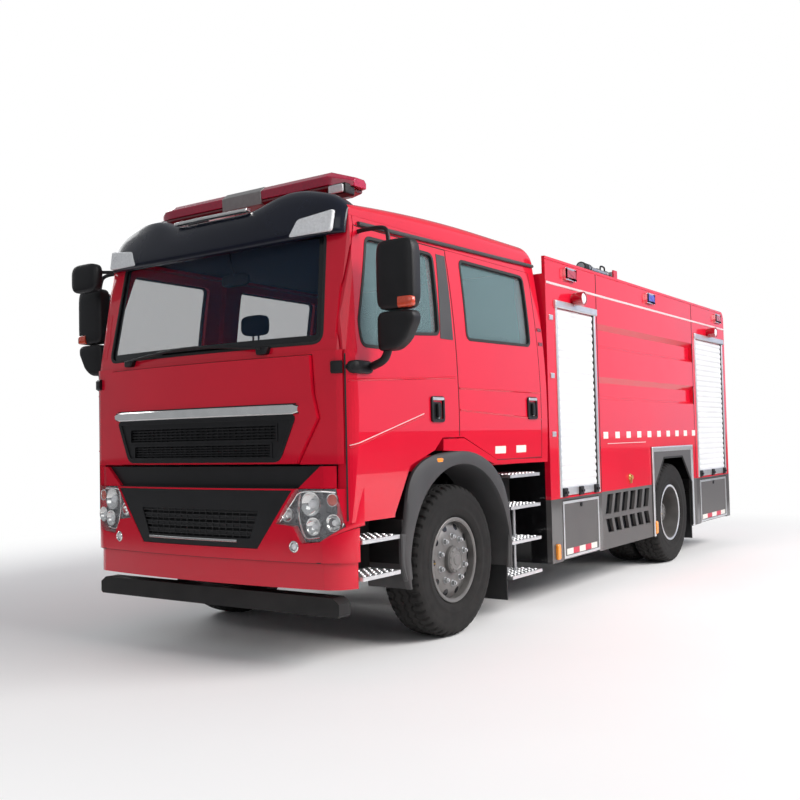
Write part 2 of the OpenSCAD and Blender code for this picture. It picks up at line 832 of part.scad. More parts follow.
// Light bar: six-sided section, ends drawn in
module light_bar() {
    mid_x = front_axle_x + 790;
    half_w = 150;
    half = light_bar_l / 2;
    low = cab_top_z + 150;
    h = 120;
    foot_y = 560;
    foot_w = 80;
    color("red") {
        translate([mid_x, 0, low]) intersection() {
            y_plate(-half, half) polygon([
                [-half_w + 25, 0], [half_w - 25, 0], [half_w, 25], [half_w, 70], [half_w - 55, h],
                [55 - half_w, h], [-half_w, 70], [-half_w, 25]
            ]);
            z_plate(0, h) polygon([
                [-half_w, half - 150], [-70, half], [70, half], [half_w, half - 150],
                [half_w, 150 - half], [70, -half], [-70, -half], [-half_w, 150 - half]
            ]);
            x_plate(-half_w, half_w) polygon(mirror_first([[half - 40, 0], [half, 25], [half, 70],
                [half - 110, h]]));
        }
        both() box([mid_x - 60, foot_y, cab_top_z], [mid_x + 60, foot_y + foot_w, low]);
    }
}

// Wiper arms parked along the foot of the screen
module wipers() {
    wiper_table = [[-734, -190], [-130, 573]];
    from_y = 0;
    to_y = 1;
    color("black") {
        difference() {
            screen_frame() for (y = [wiper_table[0][from_y], wiper_table[1][to_y]])
                box([-80, y - 35, 15], [14, y + 35, 55]);
            leaning_plan(0);
        }
        screen_frame() for (w = wiper_table) box([14, w[from_y] - 20, 30], [26, w[to_y] + 20, 44]);
    }
}

// Dashboard with the steering column
module dashboard() {
    half = half_cab - 140;
    front = cab_front_x - 125;
    color("dimgray") {
        intersection() {
            y_plate(-half, half) polygon([
                [cab_front_x, 1500], [cab_front_x, 1930], [front - 140, 1960], [front - 330, 1900],
                [front - 400, 1800], [front - 380, 1560], [front - 300, 1500]
            ]);
            z_plate(0, belt_z) cab_plan(nose_t);
        }
        intersection() {
            wheel_place() translate([0, 0, -700]) cylinder(r = 38, h = 700 - 35 - seat_gap);
            box([0, -far, 1300], [front - 340, far, far]);
        }
    }
}

steer_wheel = [front_axle_x + 735, 690, 1930];
column_tilt = 35;

module wheel_place() {
    translate(steer_wheel) rotate([0, -column_tilt, 0]) children();
}

module steering_wheel() {
    color("black") wheel_place() {
        rotate_extrude() translate([215, 0]) circle(15);
        translate([0, 0, -35]) cylinder(r = 60, h = 40);
        for (a = [0, 120, 240]) rotate([0, 0, a]) box([0, -18, -25], [208, 18, -5]);
    }
}

// Seat with cushion, back and headrest
module seat(x, y, w) {
    box([x, y - w / 2 + 40, cab_floor_z + floor_t], [x + 420, y + w / 2 - 40, 1520]);
    box([x - 30, y - w / 2, 1520], [x + 480, y + w / 2, 1660]);
    box([x - 130, y - w / 2, 1560], [x - 30, y + w / 2, 2260]);
    box([x - 120, y - 130, 2300], [x - 40, y + 130, 2470]);
    box([x - 95, y - 40, 2260], [x - 65, y + 40, 2300]);
}

module seats() {
    bench_half = 960;
    color("darkslateblue") {
        both() seat(front_axle_x + 160, 690, 480);
        box([cab_rear_x + 75, -bench_half, cab_floor_z + floor_t], [cab_rear_x + 460, bench_half, 1540]);
        box([cab_rear_x + 75, -bench_half, 1540], [cab_rear_x + 540, bench_half, 1680]);
        box([cab_rear_x + cab_wall, -bench_half, 1680], [cab_rear_x + 175, bench_half, 2280]);
    }
}

// Front door: follows side and corner, with window opening and handle
module front_door() {
    color("firebrick") difference() {
        intersection() {
            side_skin(0, post_in - move_gap, front_axle_x - 200, far);
            union() {
                z_plate(0, belt_z) cab_plan(0);
                leaning_plan(0);
            }
            y_plate(0, far) front_door_outline(move_gap / 2);
        }
        intersection() {
            side_skin(cab_wall, far / 10, 0, far);
            union() {
                z_plate(0, belt_z) cab_plan(cab_wall);
                leaning_plan(cab_wall);
            }
        }
        y_plate(0, far) front_window();
    }
}

module crew_door() {
    color("firebrick") difference() {
        intersection() {
            side_skin(0, cab_wall, cab_rear_x, far);
            y_plate(0, far) crew_door_outline(move_gap / 2);
        }
        y_plate(0, far) crew_window();
    }
}

module door_glass() {
    glass_in = 22;
    glass_t = 6;
    color("darkslategray") intersection() {
        side_skin(glass_in, glass_in + glass_t, cab_rear_x, far);
        y_plate(0, far) children();
    }
}

module door_front_left() { front_door(); }
module door_front_right() { right_side() front_door(); }
module door_crew_left() { crew_door(); }
module door_crew_right() { right_side() crew_door(); }
module glass_front_left() { door_glass() front_window(); }
module glass_front_right() { right_side() door_glass() front_window(); }
module glass_crew_left() { door_glass() crew_window(); }
module glass_crew_right() { right_side() door_glass() crew_window(); }

mirror_x = front_axle_x + 1150;
mirror_in_y = 1320;
mirror_out_y = 1600;

// Mirror housing with rounded edges
module mirror_housing(x0, x1, y0, y1, z0, z1) {
    r = 40;
    intersection() {
        x_plate(x0, x1) round_rect(y0, z0, y1, z1, r);
        z_plate(z0, z1) round_rect(x0, y0, x1, y1, r);
    }
}

// Two-part mirror on its arms, standing off the front door
module mirror_set() {
    depth = 110;
    arm_x = mirror_x - 70;
    arm_w = 60;
    stay_x = mirror_x - 85;
    stay_w = 30;
    stay_z = door_top_z - 55;
    bend_y = mirror_in_y + 90;
    low_table = [1975, 2205];
    high_table = [2215, 2650];
    color("black") {
        for (t = [low_table, high_table])
            mirror_housing(mirror_x - depth, mirror_x, mirror_in_y, mirror_out_y, t[0], t[1]);
        box([arm_x, mirror_in_y + 50, low_table[1] - 30],
            [arm_x + 40, mirror_out_y - 50, high_table[0] + 30]);
        difference() {
            union() {
                box([arm_x, half_cab - 30, low_table[0] - 70],
                    [arm_x + arm_w, bend_y, low_table[0] - 30]);
                box([stay_x, half_cab - 150, stay_z], [stay_x + stay_w, bend_y, stay_z + stay_w]);
            }
            side_skin(0, far / 10, 0, far);
        }
        box([arm_x, mirror_in_y + 50, low_table[0] - 30], [arm_x + arm_w, bend_y, low_table[0] + 30]);
        box([stay_x, bend_y - stay_w, high_table[1] - 30], [stay_x + stay_w, bend_y, stay_z]);
    }
}

// Kerb mirror at the top of the right front door, on its own stay
module kerb_mirror() {
    z0 = door_top_z - 200;
    z1 = door_top_z + 20;
    y0 = half_cab - 55;
    stay_z = door_top_z - 55;
    stay_w = 26;
    color("black") {
        mirror_housing(mirror_x + 70, mirror_x + 170, y0, y0 + 300, z0, z1);
        box([mirror_x - 55, y0 + 40, stay_z], [mirror_x + 120, y0 + 40 + stay_w, stay_z + stay_w]);
        difference() {
            box([mirror_x - 55, half_cab - 150, stay_z],
                [mirror_x - 55 + stay_w, y0 + 40 + eps, stay_z + stay_w]);
            side_skin(0, far / 10, 0, far);
        }
    }
}

module mirrors_left() { mirror_set(); }
module mirrors_right() {
    right_side() mirror_set();
    right_side() kerb_mirror();
}

flap_out = 25;
flap_in = 50;
grille_in = 20;
grille_low_z = nose_low_z + 25;
grille_top_z = grille_low_z + 360;

// Shell of the front wall between two depths
module nose_shell(i0, i1) {
    difference() {
        z_plate(nose_low_z, belt_z) cab_plan(i0);
        z_plate(nose_low_z - eps, belt_z + eps) cab_plan(i1);
    }
}

// Hinged panel that carries the grille, bowed like the front wall
module service_flap() {
    color("firebrick") difference() {
        intersection() {
            nose_shell(-flap_out, flap_in);
            x_plate(front_axle_x, far) flap_outline(0);
        }
        intersection() {
            nose_shell(-2 * flap_out, grille_in);
            x_plate(front_axle_x, far) grille_outline();
        }
    }
}

module grille_outline() {
    low_half = 705;
    top_half = 850;
    polygon([[-low_half, grille_low_z], [low_half, grille_low_z], [top_half, grille_top_z],
        [-top_half, grille_top_z]]);
}

// Grille with its recessed bands and the bright strip above
module grille() {
    band_table = [[25, 645, 80], [135, 690, 90]];
    band_z = 0;
    band_half = 1;
    band_h = 2;
    band_in = 3;
    strip_half = 868;
    strip_h = 54;
    strip_out = 12;
    strip_z = grille_top_z - strip_h - 12;
    color("black") {
        difference() {
            intersection() {
                nose_shell(-flap_out, grille_in);
                x_plate(front_axle_x, far) grille_outline();
            }
            intersection() {
                nose_shell(-2 * flap_out, -band_in);
                for (b = band_table)
                    box([front_axle_x, -b[band_half], grille_low_z + b[band_z]],
                        [far, b[band_half], grille_low_z + b[band_z] + b[band_h]]);
            }
        }
        intersection() {
            nose_shell(-flap_out - strip_out, -flap_out);
            x_plate(front_axle_x, far) round_rect(-strip_half, strip_z, strip_half, strip_z + strip_h,
                14);
        }
    }
}

// Body module with shutter recesses and hollow lower lockers behind the flaps
module locker_module(x0, x1, o0, o1) {
    color("firebrick") difference() {
        box([x0, -half_body, skirt_z], [x1, half_body, body_top_z]);
        box([x0 - eps, -tunnel_half, skirt_z - eps], [x1 + eps, tunnel_half, tunnel_top_z]);
        box([x0 - eps, -half_body + panel_t, roof_deck_z],
            [x1 + eps, half_body - panel_t, body_top_z + eps]);
        both() {
            box([o0, half_body - shutter_depth, shutter_low_z], [o1, half_body + eps, shutter_top_z]);
            box([o0, half_body - panel_t - seat_gap, skirt_z - eps],
                [o1, half_body + eps, flap_top_z + move_gap]);
            box([o0 + 20, locker_in, skirt_z + 30], [o1 - 20, half_body, flap_top_z - 20]);
        }
    }
}

module front_module() {
    locker_module(tank_front_x, body_front_x, tank_front_x + 80, body_front_x - front_pillar_w);
}

rear_shutter_half = 560;
rear_shutter_z = tunnel_top_z + 40;

module rear_module() {
    corner = 110;
    difference() {
        locker_module(body_rear_x, tank_rear_x, body_rear_x + 150, tank_rear_x - rear_pillar_w);
        box([body_rear_x - eps, -rear_shutter_half, rear_shutter_z],
            [body_rear_x + shutter_depth, rear_shutter_half, shutter_top_z]);
        y_plate(-half_body - eps, half_body + eps) difference() {
            translate([body_rear_x - eps, body_top_z - corner]) square(corner + eps);
            translate([body_rear_x + corner, body_top_z - corner]) circle(corner);
        }
    }
    color("firebrick") box([body_rear_x, -tunnel_half, 620],
        [body_rear_x + panel_t, tunnel_half, tunnel_top_z]);
}

// Tank between the modules: proud bands with sloping undersides and recesses between
module tank_module() {
    depth = 45;
    o = half_body;
    i = half_body - depth;
    color("firebrick") difference() {
        x_plate(tank_rear_x, tank_front_x) polygon(mirror_first([
            [tunnel_half, tunnel_top_z], [tunnel_half, deck_z], [o, deck_z], [o, 1745], [i, 1775],
            [i, 1905],
            [o, 1958], [o, 2235], [i, 2265], [i, 2410], [o, 2460], [o, body_top_z]
        ]));
        box([tank_rear_x - eps, -half_body + panel_t, roof_deck_z],
            [tank_front_x + eps, half_body - panel_t, body_top_z + eps]);
        both() box([rear_axle_x - well_half, tunnel_half - eps, 0],
            [rear_axle_x + well_half, half_body + eps, well_top_z]);
    }
}

// Roller shutters: slat curtains in their recesses on both sides and at the rear
module shutter_curtain(w, h) {
    pitch = h / slat_count;
    body = 22;
    proud = 8;
    linear_extrude(height = w) polygon(concat(
        [[0, 0]],
        [for (k = [0 : slat_count - 1], q = [[body, 0.04], [body + proud, 0.35], [body + proud, 0.65],
        [body, 0.96]])
            [q[0], (k + q[1]) * pitch]],
        [[0, h]]
    ));
}

module side_shutter(o0, o1) {
    translate([o1, half_body - shutter_depth, shutter_low_z]) rotate([90, 0, -90]) mirror([1, 0, 0])
        shutter_curtain(o1 - o0, shutter_top_z - shutter_low_z);
}

module shutters() {
    color("gainsboro") {
        both() {
            side_shutter(tank_front_x + 80, body_front_x - front_pillar_w);
            side_shutter(body_rear_x + 150, tank_rear_x - rear_pillar_w);
        }
        translate([body_rear_x + shutter_depth, -rear_shutter_half, rear_shutter_z]) rotate([90, 0, 180])
            shutter_curtain(2 * rear_shutter_half, shutter_top_z - rear_shutter_z);
    }
}

// Louvred skirts and the framed panels round the rear wheels
module skirts() {
    x0 = rear_axle_x + wheel_panel_half;
    margin = 75;
    louvre_count = 6;
    pitch = (tank_front_x - x0 - 2 * margin) / louvre_count;
    bar_w = 60;
    row_table = [[deck_z - 215, 185, -60], [skirt_z + 150, 130, 50]];
    row_z = 0;
    row_h = 1;
    row_lean = 2;
    color("gray") both() {
        y_plate(half_body - panel_t, half_body) difference() {
            translate([x0, skirt_z]) square([tank_front_x - x0, deck_z - skirt_z]);
            for (r = row_table, k = [0 : louvre_count - 1])
                translate([x0 + margin + k * pitch + max(0, -r[row_lean]), r[row_z]]) polygon([
                    [0, 0], [pitch - bar_w, 0], [pitch - bar_w + r[row_lean], r[row_h]],
                    [r[row_lean], r[row_h]]
                ]);
        }
        y_plate(half_body, half_body + 10) difference() {
            translate([rear_axle_x - wheel_panel_half, skirt_z])
                square([2 * wheel_panel_half, wheel_panel_top_z - skirt_z]);
            translate([rear_axle_x, 0]) polygon([
                [-arch_half, 0], [-arch_half, 850], [-arch_flat, 1150], [arch_flat, 1150],
                [arch_half, 850], [arch_half, 0]
            ]);
        }
        y_plate(half_body - panel_t, half_body) difference() {
            translate([tank_rear_x, skirt_z])
                square([rear_axle_x + wheel_panel_half - tank_rear_x, deck_z - skirt_z]);
            translate([rear_axle_x - well_half, 0]) square([2 * well_half, deck_z + eps]);
        }
    }
}

// Monitor pedestal on the roof deck and the rear ladder
module roof_gear() {
    ladder_y = 900;
    ladder_half = 190;
    rung_count = 8;
    rail_d = 34;
    foot_z = 700;
    pitch = (body_top_z - foot_z - 100) / rung_count;
    color("silver") {
        right_side() translate([rear_x + rail_d / 2, ladder_y, foot_z]) {
            for (s = [-1, 1]) translate([0, s * ladder_half, 0])
                cylinder(d = rail_d, h = body_top_z - foot_z);
            for (k = [0 : rung_count]) translate([0, 0, 50 + k * pitch]) rotate([90, 0, 0])
                cylinder(d = 26, h = 2 * ladder_half, center = true);
            for (s = [-1, 1], z = [150, body_top_z - foot_z - 150])
                translate([0, s * ladder_half, z]) rotate([0, 90, 0])
                    cylinder(d = 26, h = rear_gear - rail_d / 2);
        }
        translate([monitor_x, 0, roof_deck_z]) cylinder(r = 140, h = 40);
        translate([monitor_x, 0, roof_deck_z + 40])
            cylinder(r = 75, h = monitor_z - roof_deck_z - 40 - 130 - seat_gap);
    }
}

monitor_x = body_rear_x + 770;
monitor_z = body_top_z + monitor_rise;
barrel_l = 900;

// Turning elbow of the monitor
module monitor_elbow() {
    color("red") translate([monitor_x, 0, monitor_z]) {
        translate([0, 0, -130]) cylinder(r = 75, h = 50);
        both() box([-60, 62, -130], [60, 82, 60]);
        box([-60, -82, -130], [60, 82, -80]);
    }
}

// Barrel with its nozzle, pointing forward
module monitor_barrel() {
    color("silver") translate([monitor_x, 0, monitor_z]) {
        rotate([90, 0, 0]) cylinder(r = 50, h = 2 * (62 - seat_gap), center = true);
        rotate([0, 90, 0]) cylinder(r = 38, h = barrel_l - 200);
        translate([barrel_l - 220, 0, 0]) rotate([0, 90, 0]) cylinder(r = 58, h = 220);
    }
}

// Strobes, round side lamps, markers and tail lamps
module lamps() {
    strobe_list = [body_front_x - 470, rear_axle_x + 575, body_rear_x + 310];
    strobe_half = 110;
    strobe_low_z = body_top_z - 164;
    strobe_top_z = body_top_z - 53;
    strobe_t = 25;
    round_list = [body_front_x - 555, body_rear_x + 705];
    round_z = body_top_z - 320;
    round_r = 62;
    round_l = 110;
    marker_table = [[body_front_x - 95, 0], [rear_axle_x + wheel_panel_half - 45, 10]];
    marker_x = 0;
    marker_out = 1;
    marker_half = 32;
    marker_z = skirt_z + 24;
    marker_h = 134;
    marker_t = 12;
    tail_list = [800, 930, 1060];
    tail_half = 60;
    tail_low_z = 600;
    tail_h = 180;
    tail_t = 26;
    color("orangered") both() {
        for (x = strobe_list)
            box([x - strobe_half, half_body, strobe_low_z],
                [x + strobe_half, half_body + strobe_t, strobe_top_z]);
        for (x = round_list)
            translate([x, half_body, round_z]) rotate([-90, 0, 0]) cylinder(r = round_r, h = round_l);
        for (m = marker_table)
            box([m[marker_x] - marker_half, half_body + m[marker_out], marker_z],
                [m[marker_x] + marker_half, half_body + m[marker_out] + marker_t, marker_z + marker_h]);
        for (y = tail_list)
            box([body_rear_x - tail_t, y - tail_half, tail_low_z],
                [body_rear_x, y + tail_half, tail_low_z + tail_h]);
    }
}

// Fold-down flap of a lower locker, left side
module locker_flap(o0, o1) {
    edge_r = panel_t / 2;
    hinge_z = flap_low_z + edge_r;
    color("gray") {
        box([o0 + move_gap, half_body - panel_t, hinge_z], [o1 - move_gap, half_body, flap_top_z]);
        translate([o0 + move_gap, half_body - edge_r, hinge_z]) rotate([0, 90, 0])
            cylinder(r = edge_r, h = o1 - o0 - 2 * move_gap);
    }
}

module flap_front_left() { locker_flap(tank_front_x + 80, body_front_x - front_pillar_w); }
module flap_front_right() { right_side() flap_front_left(); }
module flap_rear_left() { locker_flap(body_rear_x + 150, tank_rear_x - rear_pillar_w); }
module flap_rear_right() { right_side() flap_rear_left(); }

// Tyre section, turned about the wheel axis
module tyre_ring() {
    half = tyre_w / 2;
    rotate([-90, 0, 0]) rotate_extrude() polygon(mirror_second([
        [rim_seat_r, rim_half], [rim_lip_r + 3, rim_half], [rim_lip_r + 12, half - 22],
        [rim_lip_r + 90, half - 2],
        [wheel_r - 90, half], [wheel_r - 32, half - 10], [wheel_r, half - 42]
    ]));
}

module tyre_front() {
    color("black") translate([front_axle_x, track_front / 2, wheel_r]) tyre_ring();
}

module tyres_rear() {
    color("black") for (h = [-twin_half, twin_half])
        translate([rear_axle_x, track_rear / 2 + h, wheel_r]) tyre_ring();
}

module tyre_front_left() { tyre_front(); }
module tyre_front_right() { right_side() tyre_front(); }
module tyres_rear_left() { tyres_rear(); }
module tyres_rear_right() { right_side() tyres_rear(); }

// Section of a rim barrel centred on h
module rim_section(h) {
    polygon([
        [rim_seat_r - rim_t, h - rim_half - lip_t], [rim_lip_r, h - rim_half - lip_t],
        [rim_lip_r, h - rim_half],
        [rim_seat_r, h - rim_half], [rim_seat_r, h + rim_half], [rim_lip_r, h + rim_half],
        [rim_lip_r, h + rim_half + lip_t], [rim_seat_r - rim_t, h + rim_half + lip_t]
    ]);
}

module hand_holes(r, h0, h1) {
    for (k = [0 : hole_count - 1]) rotate([0, 0, k * 360 / hole_count]) translate([r, 0, h0])
        cylinder(r = hole_r, h = h1 - h0);
}

// Front wheel: rim, outset disc with hand holes, drum and hub
module wheel_front() {
    color("silver") translate([front_axle_x, track_front / 2, wheel_r]) rotate([-90, 0, 0]) difference() {
        rotate_extrude() {
            rim_section(0);
            polygon([
                [spindle_r + seat_gap, -rim_half + 4], [205, -rim_half + 4], [205, 20], [120, 50],
                [165, 52], [200, 48], [rim_seat_r - rim_t + 2, 4],
                [rim_seat_r - rim_t + 2, 24], [205, 70], [165, 76], [95, 76], [95, 128], [70, 140],
                [0, 140], [0, 60], [spindle_r + seat_gap, 60]
            ]);
        }
        hand_holes(240, 0, 120);
    }
}

module wheel_front_left() { wheel_front(); }
module wheel_front_right() { right_side() wheel_front(); }

// Rear twin wheel: two rims back to back on one hub
module wheels_rear() {
    color("silver") translate([rear_axle_x, track_rear / 2, wheel_r]) rotate([-90, 0, 0]) difference() {
        rotate_extrude() {
            rim_section(twin_half);
            rim_section(-twin_half);
            polygon([
                [rear_spindle_r + seat_gap, -240], [205, -240], [205, -30], [120, -14], [215, -14],
                [rim_seat_r - rim_t + 2, -62], [rim_seat_r - rim_t + 2, -46],
                [232, 0], [rim_seat_r - rim_t + 2, 46], [rim_seat_r - rim_t + 2, 62], [215, 14],
                [150, 14], [150, 60], [110, 70],
                [110, 190], [95, 200], [0, 200], [0, 70], [rear_spindle_r + seat_gap, 70]
            ]);
        }
        hand_holes(252, -120, 120);
    }
}

module wheels_rear_left() { wheels_rear(); }
module wheels_rear_right() { right_side() wheels_rear(); }

frame();
cross_members();
axles();
knuckle_left();
knuckle_right();
tie_rod();
powertrain();
chassis_tanks();
bumper();
bumper_insert();
headlamps();
fenders();
step_treads();
cab_floor();
cab_nose();
windscreen();
cab_roof();
cab_rear();
cab_sides();
sun_visor();
light_bar();
wipers();
dashboard();
seats();
steering_wheel();
door_front_left();
door_front_right();
door_crew_left();
door_crew_right();
glass_front_left();
glass_front_right();
glass_crew_left();
glass_crew_right();
mirrors_left();
mirrors_right();
service_flap();
grille();
front_module();
tank_module();
rear_module();
shutters();
skirts();
roof_gear();
lamps();
flap_front_left();
flap_front_right();
flap_rear_left();
flap_rear_right();
monitor_elbow();
monitor_barrel();
tyre_front_left();
tyre_front_right();
tyres_rear_left();
tyres_rear_right();
wheel_front_left();
wheel_front_right();
wheels_rear_left();
wheels_rear_right();
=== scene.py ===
"""Looks of the foam fire truck: finishes for the CAD pieces, and the trim that goes over them.
Lengths are in metres; x runs forward, y to the truck's left and z up from the ground."""
import math
import bmesh
import bpy
import mathutils
import numpy as np
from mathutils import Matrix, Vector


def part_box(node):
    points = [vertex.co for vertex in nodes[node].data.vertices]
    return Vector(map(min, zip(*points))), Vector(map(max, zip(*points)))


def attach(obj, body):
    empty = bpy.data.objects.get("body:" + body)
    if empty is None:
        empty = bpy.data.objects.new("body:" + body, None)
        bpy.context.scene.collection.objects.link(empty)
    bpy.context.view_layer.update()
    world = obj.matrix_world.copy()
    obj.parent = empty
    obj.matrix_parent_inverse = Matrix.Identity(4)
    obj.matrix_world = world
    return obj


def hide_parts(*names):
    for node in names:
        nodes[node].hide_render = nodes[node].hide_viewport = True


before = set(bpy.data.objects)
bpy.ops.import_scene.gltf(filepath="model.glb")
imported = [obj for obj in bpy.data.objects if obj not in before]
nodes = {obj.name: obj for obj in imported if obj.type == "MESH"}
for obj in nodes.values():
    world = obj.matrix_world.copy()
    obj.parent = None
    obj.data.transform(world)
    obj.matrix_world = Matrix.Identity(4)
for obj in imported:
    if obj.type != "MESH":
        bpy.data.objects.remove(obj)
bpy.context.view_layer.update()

# Stations of the truck, the same as in the part's source
AXLE_F = 2.635
AXLE_R = AXLE_F - 4.5
WHEEL_R = 0.542
FRONT_WHEEL_Y, REAR_WHEEL_Y, TWIN = 1.015, 0.875, 0.17
HALF_BODY = 1.215
HALF_CAB = 1.225
SIDE_R, SIDE_MID_Z = 7.5, 1.6
BOW_R = 8.333
CAB_FRONT, SCREEN_SET = 4.02, 0.012
BELT_Z = 1.98
LEAN = math.radians(10)
CORNER_R = 0.15
CORNER_Y = HALF_CAB + 0.008 - CORNER_R
CORNER_X = CAB_FRONT - (BOW_R - math.sqrt(BOW_R ** 2 - CORNER_Y ** 2)) - CORNER_R
DOOR_GAP_X = 3.926
BUMPER_FRONT, BUMPER_MID, BUMPER_CORNER = 4.065, 0.98, 0.23
BODY_FRONT, TANK_FRONT, TANK_REAR, BODY_REAR = 1.185, 0.115, -2.675, -3.985
DECK_Z, BODY_TOP = 0.88, 2.95
SHUTTERS = [(TANK_FRONT + 0.08, BODY_FRONT - 0.21), (BODY_REAR + 0.15, TANK_REAR - 0.12)]
SHUTTER_LOW, SHUTTER_TOP = 0.89, 2.525
AHEAD, LEFT, UP = (1, 0, 0), (0, 1, 0), (0, 0, 1)
QUARTER = math.pi / 2


# Mesh helpers. A part is a pair: points as an (n, 3) array, faces as lists of point numbers.
def xyz(x, y, z):
    """Points from their coordinates, which are spread to one common shape."""
    return np.stack(np.broadcast_arrays(x, y, z), axis=-1)


def circle(count):
    """Angles of points spread evenly round a full turn."""
    return np.linspace(0, 2 * math.pi, count, endpoint=False)


def eased(values, reach):
    """Each value replaced by the mean of its neighbours up to a reach on both sides."""
    width = 2 * reach + 1
    return np.convolve(np.pad(values, reach, mode="edge"), np.ones(width) / width, mode="valid")


def grid_faces(nu, nv, wrap_u=False, wrap_v=False):
    """Four-point faces of a grid of nu by nv points, closed along u or v where asked."""
    rows, columns = np.arange(nu if wrap_u else nu - 1), np.arange(nv if wrap_v else nv - 1)
    u, v = np.meshgrid(rows, columns, indexing="ij")
    u2, v2 = (u + 1) % nu, (v + 1) % nv
    corners = [u * nv + v, u2 * nv + v, u2 * nv + v2, u * nv + v2]
    return np.stack(corners, axis=-1).reshape(-1, 4).tolist()


def loft(rings, wrap=False):
    """Closed rings with the same number of points, joined one to the next; the end rings are capped."""
    rings = np.asarray(rings, float)
    count, size = rings.shape[:2]
    faces = grid_faces(count, size, wrap_u=wrap, wrap_v=True)
    if not wrap:
        faces += [list(range(size))[::-1], list(range((count - 1) * size, count * size))]
    return rings.reshape(-1, 3), faces


def mirrored(part):
    """The same part on the other side of the truck."""
    return part[0] * np.array([1.0, -1.0, 1.0]), [face[::-1] for face in part[1]]


def both(parts):
    """Parts of the left side followed by their mirror images."""
    return list(parts) + [mirrored(part) for part in parts]


def build(name, parts, look, body="chassis", bevel=0.0, smooth=35.0, subdivide=0, stands_for=()):
    """One object from parts: faces turned outward, edges sharp above an angle, narrow bevel, rides on its body."""
    points, faces, start = [], [], 0
    for part_points, part_faces in parts:
        points += part_points.tolist()
        faces += [[i + start for i in face] for face in part_faces]
        start += len(part_points)
    mesh = bpy.data.meshes.new(name)
    mesh.from_pydata(points, [], faces)
    work = bmesh.new()
    work.from_mesh(mesh)
    bmesh.ops.recalc_face_normals(work, faces=work.faces)
    work.to_mesh(mesh)
    work.free()
    mesh.shade_smooth()
    mesh.set_sharp_from_angle(angle=math.radians(smooth))
    mesh.materials.append(looks[look])
    obj = bpy.data.objects.new(name, mesh)
    bpy.context.scene.collection.objects.link(obj)
    if bevel:
        edge = obj.modifiers.new("edge", "BEVEL")
        edge.width = bevel
        edge.segments = 2
        edge.limit_method = "ANGLE"
        edge.angle_limit = math.radians(40)
    if subdivide:
        soft = obj.modifiers.new("soft", "SUBSURF")
        soft.levels = soft.render_levels = subdivide
    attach(obj, body)
    if stands_for:
        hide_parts(*stands_for)
    return obj


def per_side(name, parts, look, bodies, **options):
    """A left piece and its mirror image, each on the body of its side."""
    build(name + "_left", parts, look, bodies + "_left", **options)
    build(name + "_right", [mirrored(part) for part in parts], look, bodies + "_right", **options)


# Outlines
def rectangle(a0, b0, a1, b1):
    """Outline between a first corner and the opposite one."""
    return np.array([[a0, b0], [a1, b0], [a1, b1], [a0, b1]], float)


def trapezoid(half0, b0, half1, b1):
    """Outline that is the same on both sides of the middle: half width and height of two level edges."""
    return np.array([(-half0, b0), (half0, b0), (half1, b1), (-half1, b1)])


def rounded(corners, radius):
    """Outline whose corners are replaced by smooth curves that leave the edges at about the radius."""
    p = np.asarray(corners, float)
    back, ahead = np.roll(p, 1, axis=0) - p, np.roll(p, -1, axis=0) - p
    len_b, len_a = np.linalg.norm(back, axis=1), np.linalg.norm(ahead, axis=1)
    reach = np.minimum(radius, 0.48 * np.minimum(len_b, len_a))
    start = p + back / len_b[:, None] * reach[:, None]
    end = p + ahead / len_a[:, None] * reach[:, None]
    s = np.linspace(0, 1, 5)[None, :, None]
    curve = (1 - s) ** 2 * start[:, None] + 2 * s * (1 - s) * p[:, None] + s ** 2 * end[:, None]
    return curve.reshape(-1, 2)


def inset(outline, depth):
    """Outline moved inward by a depth, outward where the depth is negative."""
    p = np.asarray(outline, float)
    edge = np.roll(p, -1, axis=0) - p
    area = np.sum(p[:, 0] * np.roll(p[:, 1], -1) - p[:, 1] * np.roll(p[:, 0], -1))
    length = np.maximum(np.linalg.norm(edge, axis=1), 1e-9)
    normal = np.stack([-edge[:, 1], edge[:, 0]], axis=1) / length[:, None]
    before = np.roll(normal, 1, axis=0)
    share = 1 + np.sum(before * normal, axis=1)
    return p + (before + normal) / np.maximum(share, 0.3)[:, None] * depth * np.sign(area)


def dense(outline, step):
    """Outline with extra points, so that it can follow a curved surface."""
    p = np.asarray(outline, float)
    ahead = np.roll(p, -1, axis=0)
    runs = np.maximum(1, np.ceil(np.linalg.norm(ahead - p, axis=1) / step).astype(int))
    return np.concatenate([a + (b - a) * (np.arange(n) / n)[:, None] for a, b, n in zip(p, ahead, runs)])


def divided(corners, count, closed=True):
    """Outline or open path with each of its straight runs divided into as many steps."""
    p = np.asarray(corners, float)
    share = np.linspace(0, 1, count, endpoint=False)[:, None]
    runs = [a + (b - a) * share for a, b in zip(p, np.roll(p, -1, axis=0))]
    return np.concatenate(runs if closed else runs[:-1] + [p[-1:]])


# Surfaces that trim lies on: two flat coordinates and a height above the surface give a point
def on_side(y):
    """Upright plane along the truck at y, facing left."""
    return lambda a, b, out: xyz(a, y + out, b)


def on_front(x):
    """Upright plane across the truck at x, facing forward."""
    return lambda a, b, out: xyz(x + out, a, b)


def on_rear(x):
    """Upright plane across the truck at x, facing back."""
    return lambda a, b, out: xyz(x - out, a, b)


def on_top(z):
    """Level plane at z, facing up."""
    return lambda a, b, out: xyz(a, b, z + out)


on_body = on_side(HALF_BODY)


def side_y(z):
    """Half width of the cab at a height: its side is bent to one large radius."""
    return HALF_CAB - SIDE_R + np.sqrt(SIDE_R ** 2 - (z - SIDE_MID_Z) ** 2)


def on_cab(a, b, out):
    """Left cab side: a along the truck, b up."""
    return xyz(a, side_y(b) + out, b)


def round_corner(past):
    """Reach of the cab's round front corner at a distance past its middle."""
    return np.sqrt(np.maximum(CORNER_R ** 2 - np.maximum(past, 0) ** 2, 0))


